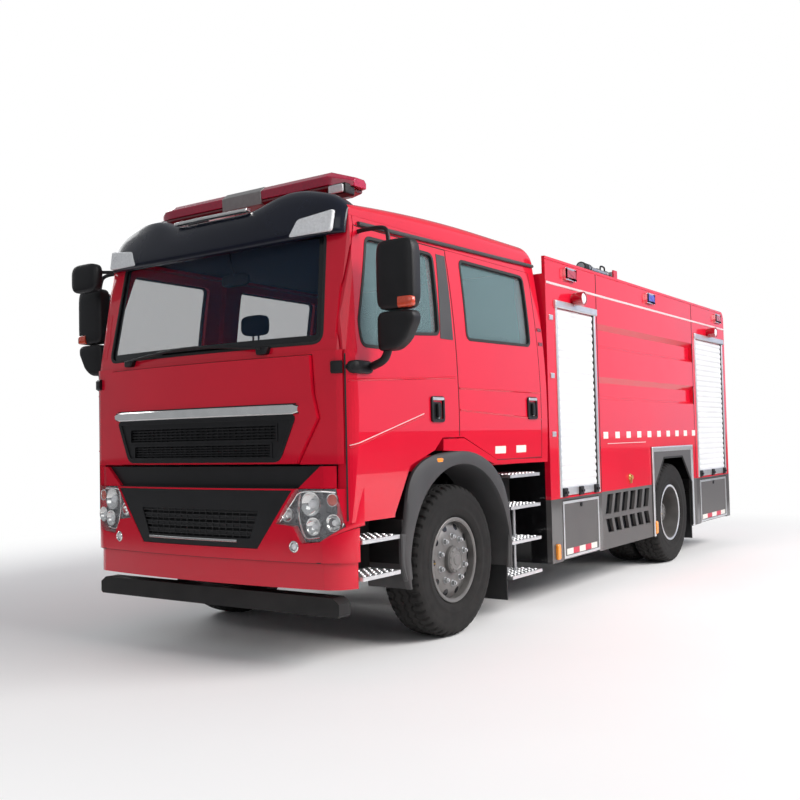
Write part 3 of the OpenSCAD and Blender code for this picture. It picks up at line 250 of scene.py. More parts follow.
def on_door(a, b, out):
    """Front door surface: the cab side, turning the front corner ahead of it."""
    return xyz(a, np.minimum(side_y(b), CORNER_Y + round_corner(a - CORNER_X)) + out, b)


def on_corner(a, b, out):
    """Front corner of the cab: a runs round it forward from the door gap, slowed to a share, b up."""
    pace = 0.62
    angle = math.asin((DOOR_GAP_X - CORNER_X) / CORNER_R) + a / CORNER_R * pace
    turn = np.minimum(angle, QUARTER)
    past = np.maximum(angle - QUARTER, 0) * CORNER_R
    reach = CORNER_R + out
    return xyz(CORNER_X + reach * np.sin(turn), CORNER_Y + reach * np.cos(turn) - past, b)


def on_pillar(a, b, out):
    """Front corner above the belt, leaning with the screen: a across the truck, b up."""
    back = (b - BELT_Z) * math.tan(LEAN) + SCREEN_SET
    bow = CAB_FRONT - BOW_R + np.sqrt(BOW_R ** 2 - np.minimum(a, CORNER_Y) ** 2)
    return xyz(np.where(a > CORNER_Y, CORNER_X + round_corner(a - CORNER_Y), bow) - back + out, a, b)


def on_screen(a, b, out):
    """Leaning and bowed windscreen surface: a across the truck, b up."""
    sag = np.sqrt(BOW_R ** 2 - a ** 2) - BOW_R + out
    up = (b - BELT_Z - sag * math.sin(LEAN)) / math.cos(LEAN)
    return xyz(CAB_FRONT - SCREEN_SET + sag * math.cos(LEAN) - up * math.sin(LEAN), a, b)


def bumper_x(y, depth):
    """Front face of the bumper plan, bowed with a round corner, moved in by a depth."""
    y = np.abs(y)
    sag = BOW_R - math.sqrt(BOW_R ** 2 - BUMPER_MID ** 2)
    bow = BUMPER_FRONT - BOW_R + np.sqrt((BOW_R - depth) ** 2 - np.minimum(y, BUMPER_MID) ** 2)
    turn = np.sqrt(np.maximum((BUMPER_CORNER - depth) ** 2 - np.maximum(y - BUMPER_MID, 0) ** 2, 0))
    return np.where(y < BUMPER_MID, bow, BUMPER_FRONT - sag - BUMPER_CORNER + turn)


def on_bumper(a, b, out):
    """Front face of the bumper: a across the truck, b up."""
    return xyz(bumper_x(a, -out), a, b)


def across(place):
    """The same surface with its two coordinates exchanged, so that a ribbon runs up it."""
    return lambda a, b, out: place(b, a, out)


# Forms on those surfaces
def lay(outline, place, out):
    """Points of an outline laid on a surface."""
    o = np.asarray(outline, float)
    return place(o[:, 0], o[:, 1], out)


def slab(outline, place, low, high, edge=0.0):
    """Plate of an outline on a surface, from one height to another, its upper edge drawn in."""
    rings = [lay(outline, place, low), lay(outline, place, high - edge)]
    if edge:
        rings.append(lay(inset(outline, edge), place, high))
    return loft(rings)


def tile(limits, place, low, high, edge=0.0, corner=0.0):
    """Rectangular plate on a surface; limits are its first corner and the opposite one."""
    outline = rectangle(*limits)
    return slab(rounded(outline, corner) if corner else outline, place, low, high, edge)


def band(outer, inner, place, low, high):
    """Closed frame between two outlines with as many points each."""
    section = ((outer, low), (outer, high), (inner, high), (inner, low))
    return loft([lay(outline, place, out) for outline, out in section], wrap=True)


def ribbon(along, low, high, place, deep, proud, edge=0.0):
    """Strip on a surface: at every station along it a section between two edges, its upper corners drawn in."""
    a, b0, b1 = np.broadcast_arrays(*[np.asarray(value, float) for value in (along, low, high)])
    section = [(b0, deep), (b1, deep), (b1, proud - edge)]
    section += [(b1 - edge, proud), (b0 + edge, proud)] if edge else []
    section += [(b0, proud - edge)]
    return loft(np.stack([place(a, b, out) for b, out in section], axis=1))


def edge_line(place, start, end, count, low, high):
    """Thin line along a surface, just proud of it."""
    return ribbon(np.linspace(start, end, count), low, high, place, -0.003, 0.001)


# Free forms
def axes_of(direction):
    """Unit vector of a direction and two more square to it."""
    d = np.asarray(direction, float) / np.linalg.norm(direction)
    helper = np.array([0.0, 0.0, 1.0]) if abs(d[2]) < 0.9 else np.array([1.0, 0.0, 0.0])
    u = np.cross(helper, d)
    u /= np.linalg.norm(u)
    return d, u, np.cross(d, u)


def turned(profile, origin, direction, count=32):
    """Profile of radius and height pairs turned about an axis; the ends are closed at the axis."""
    d, u, v = axes_of(direction)
    p = np.asarray(profile, float)
    angle = circle(count)
    spoke = np.cos(angle)[:, None] * u + np.sin(angle)[:, None] * v
    radius = np.maximum(p[:, 0], 1e-5)
    return loft(np.asarray(origin, float) + radius[:, None, None] * spoke + p[:, 1][:, None, None] * d)


def stud(radius, height):
    """Profile of a plain round or many-sided head."""
    return [(radius, 0), (radius, height), (0, height)]


def button(radius, rim, face, height):
    """Profile of a disc with a sloping edge: its rim's height, then the radius and height of its face."""
    return [(radius, 0.0), (radius, rim), (face, height), (0, height)]


def tube(path, radius, count=10):
    """Round section carried along a path of points, capped at both ends."""
    p = np.asarray(path, float)
    tangent = np.gradient(p, axis=0)
    tangent /= np.linalg.norm(tangent, axis=1)[:, None]
    sides = [axes_of(tangent[0])[1]]
    for t in tangent[1:]:
        side = sides[-1] - t * np.dot(sides[-1], t)
        sides.append(side / np.linalg.norm(side))
    sides = np.array(sides)
    ups = np.cross(tangent, sides)
    angle = circle(count)[None, :, None]
    return loft(p[:, None] + radius * (np.cos(angle) * sides[:, None] + np.sin(angle) * ups[:, None]))


def bent(points):
    """Smooth path through a few points: each run is a cubic that leaves a point along its neighbours' chord."""
    p = np.asarray(points, float)
    q = np.concatenate([[2 * p[0] - p[1]], p, [2 * p[-1] - p[-2]]])
    t = np.linspace(0, 1, 8, endpoint=False)[:, None]
    runs = [0.5 * (2 * b + (c - a) * t + (2 * a - 5 * b + 4 * c - d) * t ** 2 + (3 * b - a - 3 * c + d) * t ** 3)
            for a, b, c, d in zip(q, q[1:], q[2:], q[3:])]
    return np.concatenate(runs + [p[-1:]])


def pillow(centre, half, power, rows, columns):
    """Closed form between a box and an egg: each half axis is shaped by a signed power of sine and cosine."""
    def bend(value):
        """Signed power of a sine or cosine."""
        return np.sign(value) * np.abs(value) ** (2.0 / power)
    up = np.linspace(-QUARTER + 1e-3, QUARTER - 1e-3, rows)[:, None]
    turn = circle(columns)[None, :]
    form = xyz(bend(np.cos(up)) * bend(np.cos(turn)), bend(np.cos(up)) * bend(np.sin(turn)), bend(np.sin(up)))
    return loft(form * np.asarray(half) + np.asarray(centre))


# Finishes
def feed(tree, node, inputs):
    """Gives each named or numbered input of a node a value or the socket that feeds it."""
    for key, value in inputs.items():
        if isinstance(value, bpy.types.NodeSocket):
            tree.links.new(value, node.inputs[key])
        else:
            node.inputs[key].default_value = value


def add_node(tree, kind, inputs=None, **settings):
    """New shader node of a kind, with its settings and inputs."""
    node = tree.nodes.new("ShaderNode" + kind)
    for key, value in settings.items():
        setattr(node, key, value)
    feed(tree, node, inputs or {})
    return node


def maths(tree, operation, *values):
    """Result of an operation on one or two values or sockets."""
    return add_node(tree, "Math", dict(enumerate(values)), operation=operation).outputs[0]


def mix_base(tree, factor, tone):
    """Mixes a tone into what feeds the base colour, by a factor."""
    base = tree.nodes["Principled BSDF"].inputs["Base Color"]
    ends = {"Factor": factor, "A": base.links[0].from_socket, "B": (*tone, 1)}
    tree.links.new(add_node(tree, "Mix", ends, data_type="RGBA").outputs["Result"], base)


def object_place(tree):
    """Socket of the Object coordinates that a finish reads."""
    return next(node for node in tree.nodes if node.type == "TEX_COORD").outputs["Object"]


RED = (0.68, 0.004, 0.027)
GREY = (0.085, 0.082, 0.082)
BLACK = (0.006, 0.006, 0.007)
DUST, DUST_TOP, DUST_FULL = (0.22, 0.20, 0.18), 1.1, 0.1


def finish(name, colour, rough, spread, scale, metal=0.0, coat=0.0, bump=0.0, grain=120.0, rough_spread=0.08,
           alpha=1.0, dirt=0.0, shine=0.5):
    """Surface finish: a soft noise varies colour and roughness, a fine one gives the grain,
    and dust gathers towards the ground where dirt is set; all read Object coordinates."""
    mat = bpy.data.materials.new(name)
    mat.use_nodes = True
    tree = mat.node_tree
    place = add_node(tree, "TexCoord").outputs["Object"]
    noise = add_node(tree, "TexNoise", {"Scale": scale, "Detail": 5.0, "Vector": place}).outputs["Fac"]
    ramp = add_node(tree, "ValToRGB", {"Fac": noise})
    for stop, position, share in zip(ramp.color_ramp.elements, (0.3, 0.7), (1 - spread, 1 + spread)):
        stop.position = position
        stop.color = (*[min(1.0, c * share) for c in colour], 1)
    least, most = max(0.02, rough - rough_spread), min(1.0, rough + rough_spread)
    rough_range = {"Value": noise, "To Min": least, "To Max": most}
    surface = {"Base Color": ramp.outputs["Color"], "Metallic": metal, "Specular IOR Level": shine, "Alpha": alpha,
               "Roughness": add_node(tree, "MapRange", rough_range).outputs["Result"],
               "Coat Weight": coat, "Coat Roughness": 0.04}
    if bump:
        fine = add_node(tree, "TexNoise", {"Scale": grain, "Detail": 3.0, "Vector": place}).outputs["Fac"]
        relief = add_node(tree, "Bump", {"Strength": bump, "Distance": 0.002, "Height": fine})
        surface["Normal"] = relief.outputs["Normal"]
    feed(tree, tree.nodes["Principled BSDF"], surface)
    if dirt:
        height = add_node(tree, "SeparateXYZ", {0: place}).outputs["Z"]
        limits = {"Value": height, "From Min": DUST_TOP, "From Max": DUST_FULL, "To Max": dirt}
        low = add_node(tree, "MapRange", limits).outputs["Result"]
        mix_base(tree, maths(tree, "MULTIPLY", low, noise), DUST)
    return mat


def zoned(mat, zones):
    """Gives a finish other tones inside boxes: each zone has its limits along, out from the middle and up,
    then its tone."""
    tree = mat.node_tree
    split = add_node(tree, "SeparateXYZ", {0: object_place(tree)}).outputs
    axes = (split["X"], maths(tree, "ABSOLUTE", split["Y"]), split["Z"])
    for *limits, tone in zones:
        inside = 1.0
        for axis, (low, high) in zip(axes, limits):
            for operation, limit in (("GREATER_THAN", low), ("LESS_THAN", high)):
                inside = maths(tree, "MULTIPLY", inside, maths(tree, operation, axis, limit))
        mix_base(tree, inside, tone)


# Name, colour, roughness, spread of the tone, scale of its noise, other settings
PAINT = (RED, 0.36, 0.04, 1.4, dict(coat=0.85, bump=0.02, grain=420, dirt=0.08, shine=0.1))
FINISHES = [
    ("red_paint", *PAINT),
    ("body_paint", *PAINT),
    ("tank_paint", *PAINT),
    # pale stripe paint, also used for the painted highlight along the front door crease
    ("stripe_pale", (0.78, 0.55, 0.55), 0.35, 0.05, 20, {}),
    ("chassis_black", (0.009, 0.009, 0.010), 0.6, 0.3, 6, dict(bump=0.1, dirt=0.12, shine=0.3)),
    ("arch_plastic", (0.045, 0.045, 0.048), 0.62, 0.12, 5, dict(bump=0.25, grain=900, dirt=0.35)),
    ("skirt_grey", GREY, 0.5, 0.08, 4, dict(bump=0.1, grain=600, dirt=0.3)),
    # black plastic trim, also used as painted shade on the bumper's top face under the cab nose
    ("black_plastic", (0.008, 0.008, 0.0095), 0.45, 0.2, 8, dict(bump=0.15, grain=700, shine=0.35)),
    ("dark_rubber", (0.014, 0.014, 0.015), 0.7, 0.2, 20, dict(bump=0.1, grain=900)),
    ("bright_alloy", (0.74, 0.75, 0.76), 0.34, 0.05, 14, dict(metal=0.85, bump=0.06, grain=260)),
    ("chrome", (0.86, 0.86, 0.85), 0.1, 0.06, 7, dict(metal=1.0, rough_spread=0.04)),
    ("shutter_alloy", (0.80, 0.81, 0.82), 0.42, 0.03, 5, dict(metal=0.15, bump=0.03)),
    ("clear_lens", (0.75, 0.78, 0.80), 0.05, 0.05, 30, dict(alpha=0.07, rough_spread=0.02)),
    ("lamp_white", (0.82, 0.83, 0.85), 0.2, 0.08, 60, dict(bump=0.3, grain=300)),
    ("lamp_bucket", (0.12, 0.12, 0.13), 0.28, 0.15, 25, dict(metal=0.7)),
    ("lamp_red", (0.40, 0.006, 0.02), 0.14, 0.12, 40, dict(coat=0.8, bump=0.1, grain=220)),
    ("lamp_crimson", (0.46, 0.005, 0.05), 0.16, 0.12, 40, dict(coat=0.5, bump=0.1, grain=220)),
    ("bar_grey", (0.30, 0.29, 0.29), 0.4, 0.1, 30, dict(metal=0.2, bump=0.1)),
    ("lamp_dark", (0.16, 0.004, 0.012), 0.2, 0.2, 30, dict(coat=0.6)),
    ("lamp_blue", (0.01, 0.02, 0.42), 0.15, 0.15, 60, dict(coat=0.8, bump=0.2, grain=300)),
    ("lamp_amber", (0.85, 0.28, 0.015), 0.2, 0.12, 60, dict(coat=0.6, bump=0.2, grain=300)),
    ("lamp_orange", (0.62, 0.07, 0.03), 0.22, 0.12, 50, dict(coat=0.6)),
    ("visor_navy", (0.006, 0.008, 0.019), 0.26, 0.12, 3, dict(coat=0.25, shine=0.3)),
    ("cab_glass", (0.014, 0.045, 0.10), 0.04, 0.1, 2, dict(rough_spread=0.015, alpha=0.15, shine=0.4)),
    # pale teal base: the glass's own tint plus a painted sky reflection that keeps the side windows pale
    ("side_glass", (0.26, 0.40, 0.42), 0.14, 0.06, 1.2, dict(rough_spread=0.02, alpha=0.3, shine=0.3)),
    ("cab_lining", (0.012, 0.018, 0.034), 0.8, 0.15, 6, dict(bump=0.05, grain=300)),
    ("mirror_glass", (0.82, 0.84, 0.86), 0.04, 0.03, 4, dict(metal=1.0, rough_spread=0.01)),
    # black of the windscreen print, also painted shade behind the louvres and in the front wheels' hand holes
    ("frit_black", (0.006, 0.007, 0.009), 0.2, 0.2, 30, {}),
    ("cab_trim", (0.05, 0.052, 0.058), 0.7, 0.1, 12, dict(bump=0.2, grain=800)),
    ("seat_cloth", (0.022, 0.024, 0.032), 0.9, 0.25, 70, dict(bump=0.5, grain=1500)),
    ("wheel_silver", (0.20, 0.195, 0.19), 0.45, 0.14, 9, dict(metal=0.55, bump=0.06, grain=300, dirt=0.15)),
    ("steel", (0.52, 0.53, 0.54), 0.32, 0.1, 18, dict(metal=1.0, bump=0.05)),
    ("brass", (0.62, 0.42, 0.14), 0.3, 0.12, 40, dict(metal=1.0)),
    ("tyre_rubber", (0.013, 0.0125, 0.0125), 0.85, 0.25, 16, dict(bump=0.3, grain=500, dirt=0.07, shine=0.3)),
    ("tape_white", (0.80, 0.77, 0.71), 0.3, 0.05, 80, dict(bump=0.2, grain=700)),
    ("tape_red", (0.55, 0.012, 0.05), 0.3, 0.08, 80, dict(bump=0.2, grain=700)),
    ("deck_plate", (0.42, 0.43, 0.44), 0.45, 0.15, 30, dict(metal=0.7, bump=0.9, grain=60)),
    ("floor_pale", (0.9, 0.9, 0.9), 0.9, 0.01, 0.5, dict(shine=0.0)),
]
looks = {name: finish(name, *row, **more) for name, *row, more in FINISHES}
FAR = 9.0
EVERY = (-FAR, FAR)
zoned(looks["body_paint"], [(EVERY, EVERY, (-FAR, DECK_Z - 0.005), GREY),
                            ((BODY_FRONT - 0.004, FAR), (-FAR, 1.165), (-FAR, 1.22), BLACK)])
# black on the tank module's inner faces below 1.36 m: painted shade in the rear wheel well
zoned(looks["tank_paint"], [(EVERY, (-FAR, HALF_BODY - 0.012), (-FAR, 1.36), BLACK)])

CAD_LOOKS = {
    "red_paint": "bumper cab_nose cab_roof cab_rear cab_sides door_front_left door_front_right door_crew_left "
                 "door_crew_right service_flap monitor_elbow",
    "tank_paint": "tank_module",
    "body_paint": "front_module rear_module",
    "chassis_black": "frame cross_members axles knuckle_left knuckle_right tie_rod powertrain",
    "arch_plastic": "fenders",
    "skirt_grey": "skirts flap_front_left flap_front_right flap_rear_left flap_rear_right",
    "black_plastic": "bumper_insert steering_wheel grille wipers mirrors_left mirrors_right",
    "bright_alloy": "step_treads chassis_tanks",
    "shutter_alloy": "shutters",
    "lamp_bucket": "headlamps",
    "lamp_red": "light_bar lamps",
    "visor_navy": "sun_visor",
    "cab_glass": "windscreen",
    "side_glass": "glass_front_left glass_front_right glass_crew_left glass_crew_right",
    "cab_trim": "cab_floor dashboard",
    "seat_cloth": "seats",
    "wheel_silver": "wheel_front_left wheel_front_right wheels_rear_left wheels_rear_right",
    "tyre_rubber": "tyre_front_left tyre_front_right tyres_rear_left tyres_rear_right",
    "steel": "roof_gear monitor_barrel",
}
for look_name, node_names in CAD_LOOKS.items():
    for node_name in node_names.split():
        slots = nodes[node_name].data.materials
        slots.clear()
        slots.append(looks[look_name])


# Cab front
def visor():
    """Sun visor: a closed section across the header is carried from side to side; its top follows two humps
    with a notch between, its front bulges, and its ends draw in to the corner."""
    half, skin = 1.115, 0.004
    y = np.sin(np.linspace(-QUARTER, QUARTER, 75)) * half
    knots = [0, 0.34, 0.40, 0.50, 0.585, 0.70, 0.80, 0.985, 1.07, half]
    tops = [2.975, 2.976, 2.985, 3.03, 3.062, 3.070, 3.060, 3.012, 2.955, 2.90]
    top = eased(np.interp(np.abs(y), knots, tops), 2)
    low = 2.70 + 0.025 * np.abs(y) ** 2
    end = np.sqrt(np.clip(1 - (np.abs(y) / 1.12) ** 10, 0.02, 1))
    out, up = np.transpose([
        (skin, 0.02), (0.03, -0.01), (0.062, 0.0), (0.078, 0.05), (0.084, 0.22), (0.082, 0.45), (0.074, 0.66),
        (0.058, 0.82), (0.034, 0.93), (0.0, 0.985), (-0.045, 1.0), (-0.09, 0.97), (-0.10, 0.86), (-0.02, 0.74),
        (skin, 0.6), (skin, 0.3)])
    depth = np.where(out > skin, skin + (out - skin) * end[:, None], out)
    height = low[:, None] + (top - low)[:, None] * up
    shell = loft(on_screen(y[:, None], height, depth))
    build("visor_shell", [shell], "visor_navy", smooth=60, stands_for=["sun_visor"])
    lamp = dense(rounded([(0.742, 2.73), (1.064, 2.737), (1.07, 2.878), (0.80, 2.842)], 0.02), 0.06)
    build("visor_lamps", both([slab(lamp, on_screen, 0.066, 0.089, 0.006)]), "lamp_white", bevel=0.002)
    bulb = turned(button(0.022, 0.008, 0.012, 0.012), on_screen(1.0, 2.81, 0.084), (1, 0, 0.17), 20)
    build("visor_lamp_bulbs", both([bulb]), "clear_lens")
    strip = dense(rectangle(-0.35, 2.968, 0.35, 2.99), 0.05)
    build("visor_strip", [slab(strip, on_screen, 0.03, 0.075, 0.004)], "chrome", bevel=0.002)


def roof_skin():
    """Cab roof: arched sections along the truck; the crown falls to the front as a square, rounds off at the rear
    as a circle and leans with the screen ahead. A lining closes it from below."""
    crown, edge, floor, count = 3.05, 2.852, 2.85, 49
    fall, fall_x, fall_run = 0.09, 2.1, 1.6
    drop, drop_x, drop_run = 0.13, 1.37, 0.135
    x = np.concatenate([np.linspace(1.237, 1.38, 12), np.linspace(1.42, 2.5, 12), np.linspace(2.58, 3.83, 20)])
    tail = np.clip((drop_x - x) / drop_run, 0, 1)
    top = crown - fall * (np.maximum(x - fall_x, 0) / fall_run) ** 2 - drop * (1 - np.sqrt(1 - tail ** 2))
    turn = np.linspace(0, math.pi, count)
    half = side_y(floor) - 0.001
    y = half * np.sign(np.cos(turn)) * np.abs(np.cos(turn)) ** 0.27
    z = edge + (top - edge)[:, None] * np.sin(turn) ** 0.38
    y = np.concatenate([y, y[::-1][1:-1] * 0.995])
    z = np.concatenate([z, np.full((len(x), count - 2), floor)], axis=1)
    shell = loft(xyz(np.minimum(x[:, None], on_screen(y, z, 0.002)[..., 0]), y, z))
    build("roof_skin", [shell], "red_paint", smooth=50, stands_for=["cab_roof"])
    sheets = [tile((1.30, -1.09, 3.62, 1.09), on_top(2.812), 0.0, 0.03, 0.01),
              tile((-1.1, 1.22, 1.1, 2.81), on_front(1.296), 0.0, 0.02, 0.008)]
    build("cab_lining", sheets, "cab_lining", bevel=0.003)


def pillar_covers():
    """Cover of the opening in each windscreen pillar, from the bowed front back to the door's edge."""
    up = np.linspace(2.06, 2.4, 20)
    door_x = np.interp(up, [1.96, 2.19, 2.64], [3.9195, 3.8965, 3.7995]) + 0.006
    ahead = CAB_FRONT - SCREEN_SET - (up - BELT_Z) * math.tan(LEAN) - door_x
    inner = np.sqrt(np.maximum(BOW_R ** 2 - (BOW_R - np.maximum(ahead, 0)) ** 2, 0)) - 0.02
    cover = ribbon(up, np.clip(inner, 1.02, 1.07), 1.108, across(on_pillar), -0.03, 0.0008)
    build("pillar_covers", both([cover]), "red_paint")


def light_bar():
    """Light bar: six-sided section carried across the roof, drawn in and down towards both ends."""
    low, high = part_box("light_bar")
    mid_x, half = (low[0] + high[0]) / 2, (high[1] - low[1]) / 2
    base, taper, centre = high[2] - 0.12, 0.16, 0.19

    def run(y, *front):
        """Front half of the section, from its lower corner up, mirrored to the rear and carried along y."""
        (x0, z0), *rest = front
        section = np.array([(-x0, z0), *front, *[(-x, z) for x, z in rest[::-1]]])
        near = np.clip((half - np.abs(y)) / taper, 0, 1)[:, None]
        wide, tall = 0.45 + 0.55 * near, 0.62 + 0.38 * near
        return loft(xyz(mid_x + section[:, 0] * wide, y[:, None], base + section[:, 1] * tall))
    wing = np.concatenate([np.linspace(centre, half - taper, 8), [half - 0.05, half]])
    cover = run(wing, (0.15, 0.034), (0.154, 0.094), (0.105, 0.13))
    lens = run(wing[:-1], (0.125, 0.0), (0.144, 0.014), (0.144, 0.032))
    shell = run(np.linspace(-centre, centre, 5), (0.153, 0.0), (0.157, 0.095), (0.108, 0.134))
    build("light_bar_covers", both([cover]), "lamp_crimson", bevel=0.004, stands_for=["light_bar"])
    build("light_bar_lenses", both([lens]), "lamp_dark", bevel=0.003)
    build("light_bar_centre", [shell], "bar_grey", bevel=0.004)
    end = half - 0.1
    for name, wide, tall, out, look, bevel in (("cases", 0.078, 0.075, 0.05, "black_plastic", 0.003),
                                               ("lamps", 0.062, 0.056, 0.062, "lamp_white", 0.002)):
        limits = (end - wide, base - tall / 2, end + wide, base + tall / 2)
        face = tile(limits, on_front(mid_x + 0.085), -0.05, out, 0.004, 0.012)
        build("light_bar_end_" + name, both([face]), look, bevel=bevel)
    foot = tile((mid_x - 0.07, 0.55, mid_x + 0.07, 0.65), on_top(low[2]), 0.0, base - low[2] + 0.01, corner=0.02)
    build("light_bar_feet", both([foot]), "black_plastic", bevel=0.004)


def screen_trim():
    """Black edge print on the windscreen, rubber seal round it, wiper blocks with arms and blades."""
    opening = dense(rounded(trapezoid(1.01, 2.035, 0.96, 2.77), 0.07), 0.12)
    edge_print = band(inset(opening, 0.002), inset(opening, 0.05), on_screen, -0.0139, -0.0125)
    build("screen_print", [edge_print], "frit_black")
    seal = band(inset(opening, -0.012), inset(opening, 0.008), on_screen, -0.01, 0.003)
    build("screen_seal", [seal], "dark_rubber", bevel=0.002)

    def above_belt(a, b, out):
        """The screen surface, never below the belt."""
        return on_screen(a, np.maximum(b, BELT_Z + 0.002), out)
    blocks, arms = [], []
    for foot, tip in ((-0.735, 0.0), (0.573, -0.16)):
        corners = [(foot - 0.05, 2.03), (foot - 0.035, 1.955), (foot + 0.035, 1.955), (foot + 0.05, 2.03)]
        blocks.append(slab(dense(corners, 0.04), above_belt, -0.004, 0.04, 0.008))
        rise = 2.02 + 0.05 * np.sin(np.linspace(0, QUARTER, 12))
        arms.append(tube(on_screen(np.linspace(foot, tip, 12), rise, 0.036), 0.009, 8))
        way = np.sign(tip - foot)
        rail = on_screen(np.linspace(tip - 0.36 * way, tip + 0.28 * way, 14), 2.062, 0.004)
        arms += [tube(rail + np.array([0.012, 0, 0]), 0.007, 6), tube(rail, 0.004, 6)]
    build("wiper_blocks", blocks, "black_plastic", bevel=0.004, stands_for=["wipers"])
    build("wiper_arms", arms, "black_plastic")


def grille_trim():
    """Bright strip, rim, bars and mesh of the grille, on the service flap."""
    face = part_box("service_flap")[1][0]

    def on_flap(a, b, out):
        """Bowed face of the service flap: a across the truck, b up."""
        return xyz(face + np.sqrt(BOW_R ** 2 - a ** 2) - BOW_R + out, a, b)
    span = np.linspace(-1, 1, 41)
    strip_z = 1.621
    half = 0.03 * (0.6 + 0.4 * np.sqrt(np.clip(1 - np.abs(span) ** 60, 0, 1)))
    strip = ribbon(span * 0.871, strip_z - half, strip_z + half, on_flap, -0.002, 0.018, 0.007)
    build("grille_strip", [strip], "chrome", "service_flap")
    rim = dense(rounded(trapezoid(0.853, 1.59, 0.718, 1.29), 0.05), 0.05)
    rim_band = band(rim, inset(rim, 0.03), on_flap, -0.004, 0.008)
    build("grille_rim", [rim_band], "black_plastic", "service_flap", bevel=0.003)
    bars, mesh = [], []
    thick, ledge_w = 0.0055, 0.014
    for low, high, half in ((1.435, 1.525, 0.69), (1.325, 1.405, 0.645)):
        for z in np.linspace(low + 0.014, high - 0.014, 4):
            bars.append(ribbon(span * half, z - thick, z + thick, on_flap, -0.022, -0.004, 0.003))
        for y in np.arange(-half + 0.025, half - 0.02, 0.05):
            mesh.append(tile((y - 0.003, low, y + 0.003, high), on_flap, -0.023, -0.012))
        ledge = dense(rectangle(-half - ledge_w, low - 0.012, half + ledge_w, high + 0.012), 0.06)
        bars.append(band(ledge, inset(ledge, ledge_w), on_flap, -0.004, 0.005))
    build("grille_bars", bars, "black_plastic", "service_flap")
    build("grille_mesh", mesh, "dark_rubber", "service_flap")


def insert_trim():
    """Panel, mesh and bright strip of the bumper insert, painted shade on the bumper's top face under the nose, and
    the seam below it.
    """
    panel = divided(trapezoid(0.539, 0.743, 0.823, 1.128), 24)
    hole = divided(trapezoid(0.478, 0.806, 0.552, 0.985), 24)
    build("insert_panel", [band(panel, hole, on_bumper, -0.016, -0.0015)], "black_plastic", bevel=0.003)

    def on_ledge(a, b, out):
        """Level top of the insert: a across the truck, b the depth behind the bumper's face."""
        return xyz(bumper_x(a, b), a, 1.126 + out)
    # black strip over the bumper's top face: painted shade of the dark gap between the cab nose and the bumper
    ledge = ribbon(np.linspace(-0.83, 0.83, 61), 0.0015, 0.06, on_ledge, -0.004, 0.003)
    build("bumper_top_painted_shade", [ledge], "black_plastic")
    span, thick, back = np.linspace(-1, 1, 41), 0.004, -0.013
    mesh = [ribbon(span * (0.47 + 0.085 * (z - 0.8) / 0.185), z - thick, z + thick, on_bumper, back, -0.007, 0.002)
            for z in np.linspace(0.822, 0.970, 7)]
    mesh += [tile((y - 0.003, 0.806, y + 0.003, 0.984), on_bumper, back, -0.009)
             for y in np.arange(-0.45, 0.46, 0.06)]
    build("insert_mesh", mesh, "dark_rubber")
    strip = ribbon(np.linspace(-0.465, 0.375, 21), 0.778, 0.794, on_bumper, -0.004, 0.008, 0.004)
    build("insert_strip", [strip], "chrome")
    seam = ribbon(np.linspace(-1.13, 1.13, 61), 0.668, 0.675, on_bumper, -0.02, -0.0005)
    build("bumper_seam", [seam], "dark_rubber")


# Headlamps
def lamp_shells():
    """Headlamp buckets and clear covers: both follow the bumper corner at a depth. A lower and an upper edge run
    across the unit; each row of points is a share of the way between them."""
    columns, rows = 44, 12
    s = np.linspace(0, 1, columns)
    low_y, high_y = 0.688 + 0.468 * s, 0.688 + 0.430 * s
    low = np.interp(low_y, [0.685, 0.82, 0.88, 1.02, 1.157], [0.903, 0.893, 0.79, 0.803, 0.888])
    high = np.interp(high_y, [0.685, 0.842, 1.12], [0.908, 1.122, 1.122])
    t = np.linspace(0, 1, rows)
    height = low[:, None] + (high - low)[:, None] * t
    spread = low_y[:, None] + (high_y - low_y)[:, None] * t
    number = np.arange(columns * rows).reshape(columns, rows)
    rim = np.concatenate([number[0], number[1:, -1], number[-1, -2::-1], number[-2:0:-1, 0]]).tolist()
    faces = grid_faces(columns, rows)

    def shell(near, deep):
        """Closed sheet between two depths behind the bumper's face."""
        points = np.concatenate([xyz(bumper_x(spread, d), spread, height).reshape(-1, 3) for d in (near, deep)])
        back = [[i + number.size for i in face[::-1]] for face in faces]
        sides = [[a, b, b + number.size, a + number.size] for a, b in zip(rim, rim[1:] + rim[:1])]
        return points, faces + back + sides
    build("headlamp_buckets", both([shell(0.05, 0.079)]), "lamp_bucket", smooth=50, stands_for=["headlamps"])
    build("headlamp_covers", both([shell(0.004, 0.007)]), "clear_lens", smooth=50)


def bumper_end_panels():
    """Painted strip outside each headlamp: level rows from the lamp's edge round the bumper corner."""
    up = np.linspace(0.802, 1.124, 26)[:, None]
    wide = BUMPER_MID + BUMPER_CORNER
    levels = [0.80, 0.89, 1.125]
    near = np.interp(up, levels, [1.02, 1.161, 1.121])
    far = np.interp(up, levels, [1.024, wide - 0.0004, wide - 0.0004])
    rows = near + (far - near) * np.sin(np.linspace(0, QUARTER, 14))
    front = xyz(bumper_x(rows, 0.0), rows, up)
    inner = np.minimum(rows, wide - 0.032)
    back = xyz(np.minimum(bumper_x(inner, 0.03), front[..., 0] - 0.002), inner, up)
    panel = loft(np.concatenate([front, back[:, ::-1]], axis=1))
    build("bumper_end_panels", both([panel]), "red_paint", smooth=50)


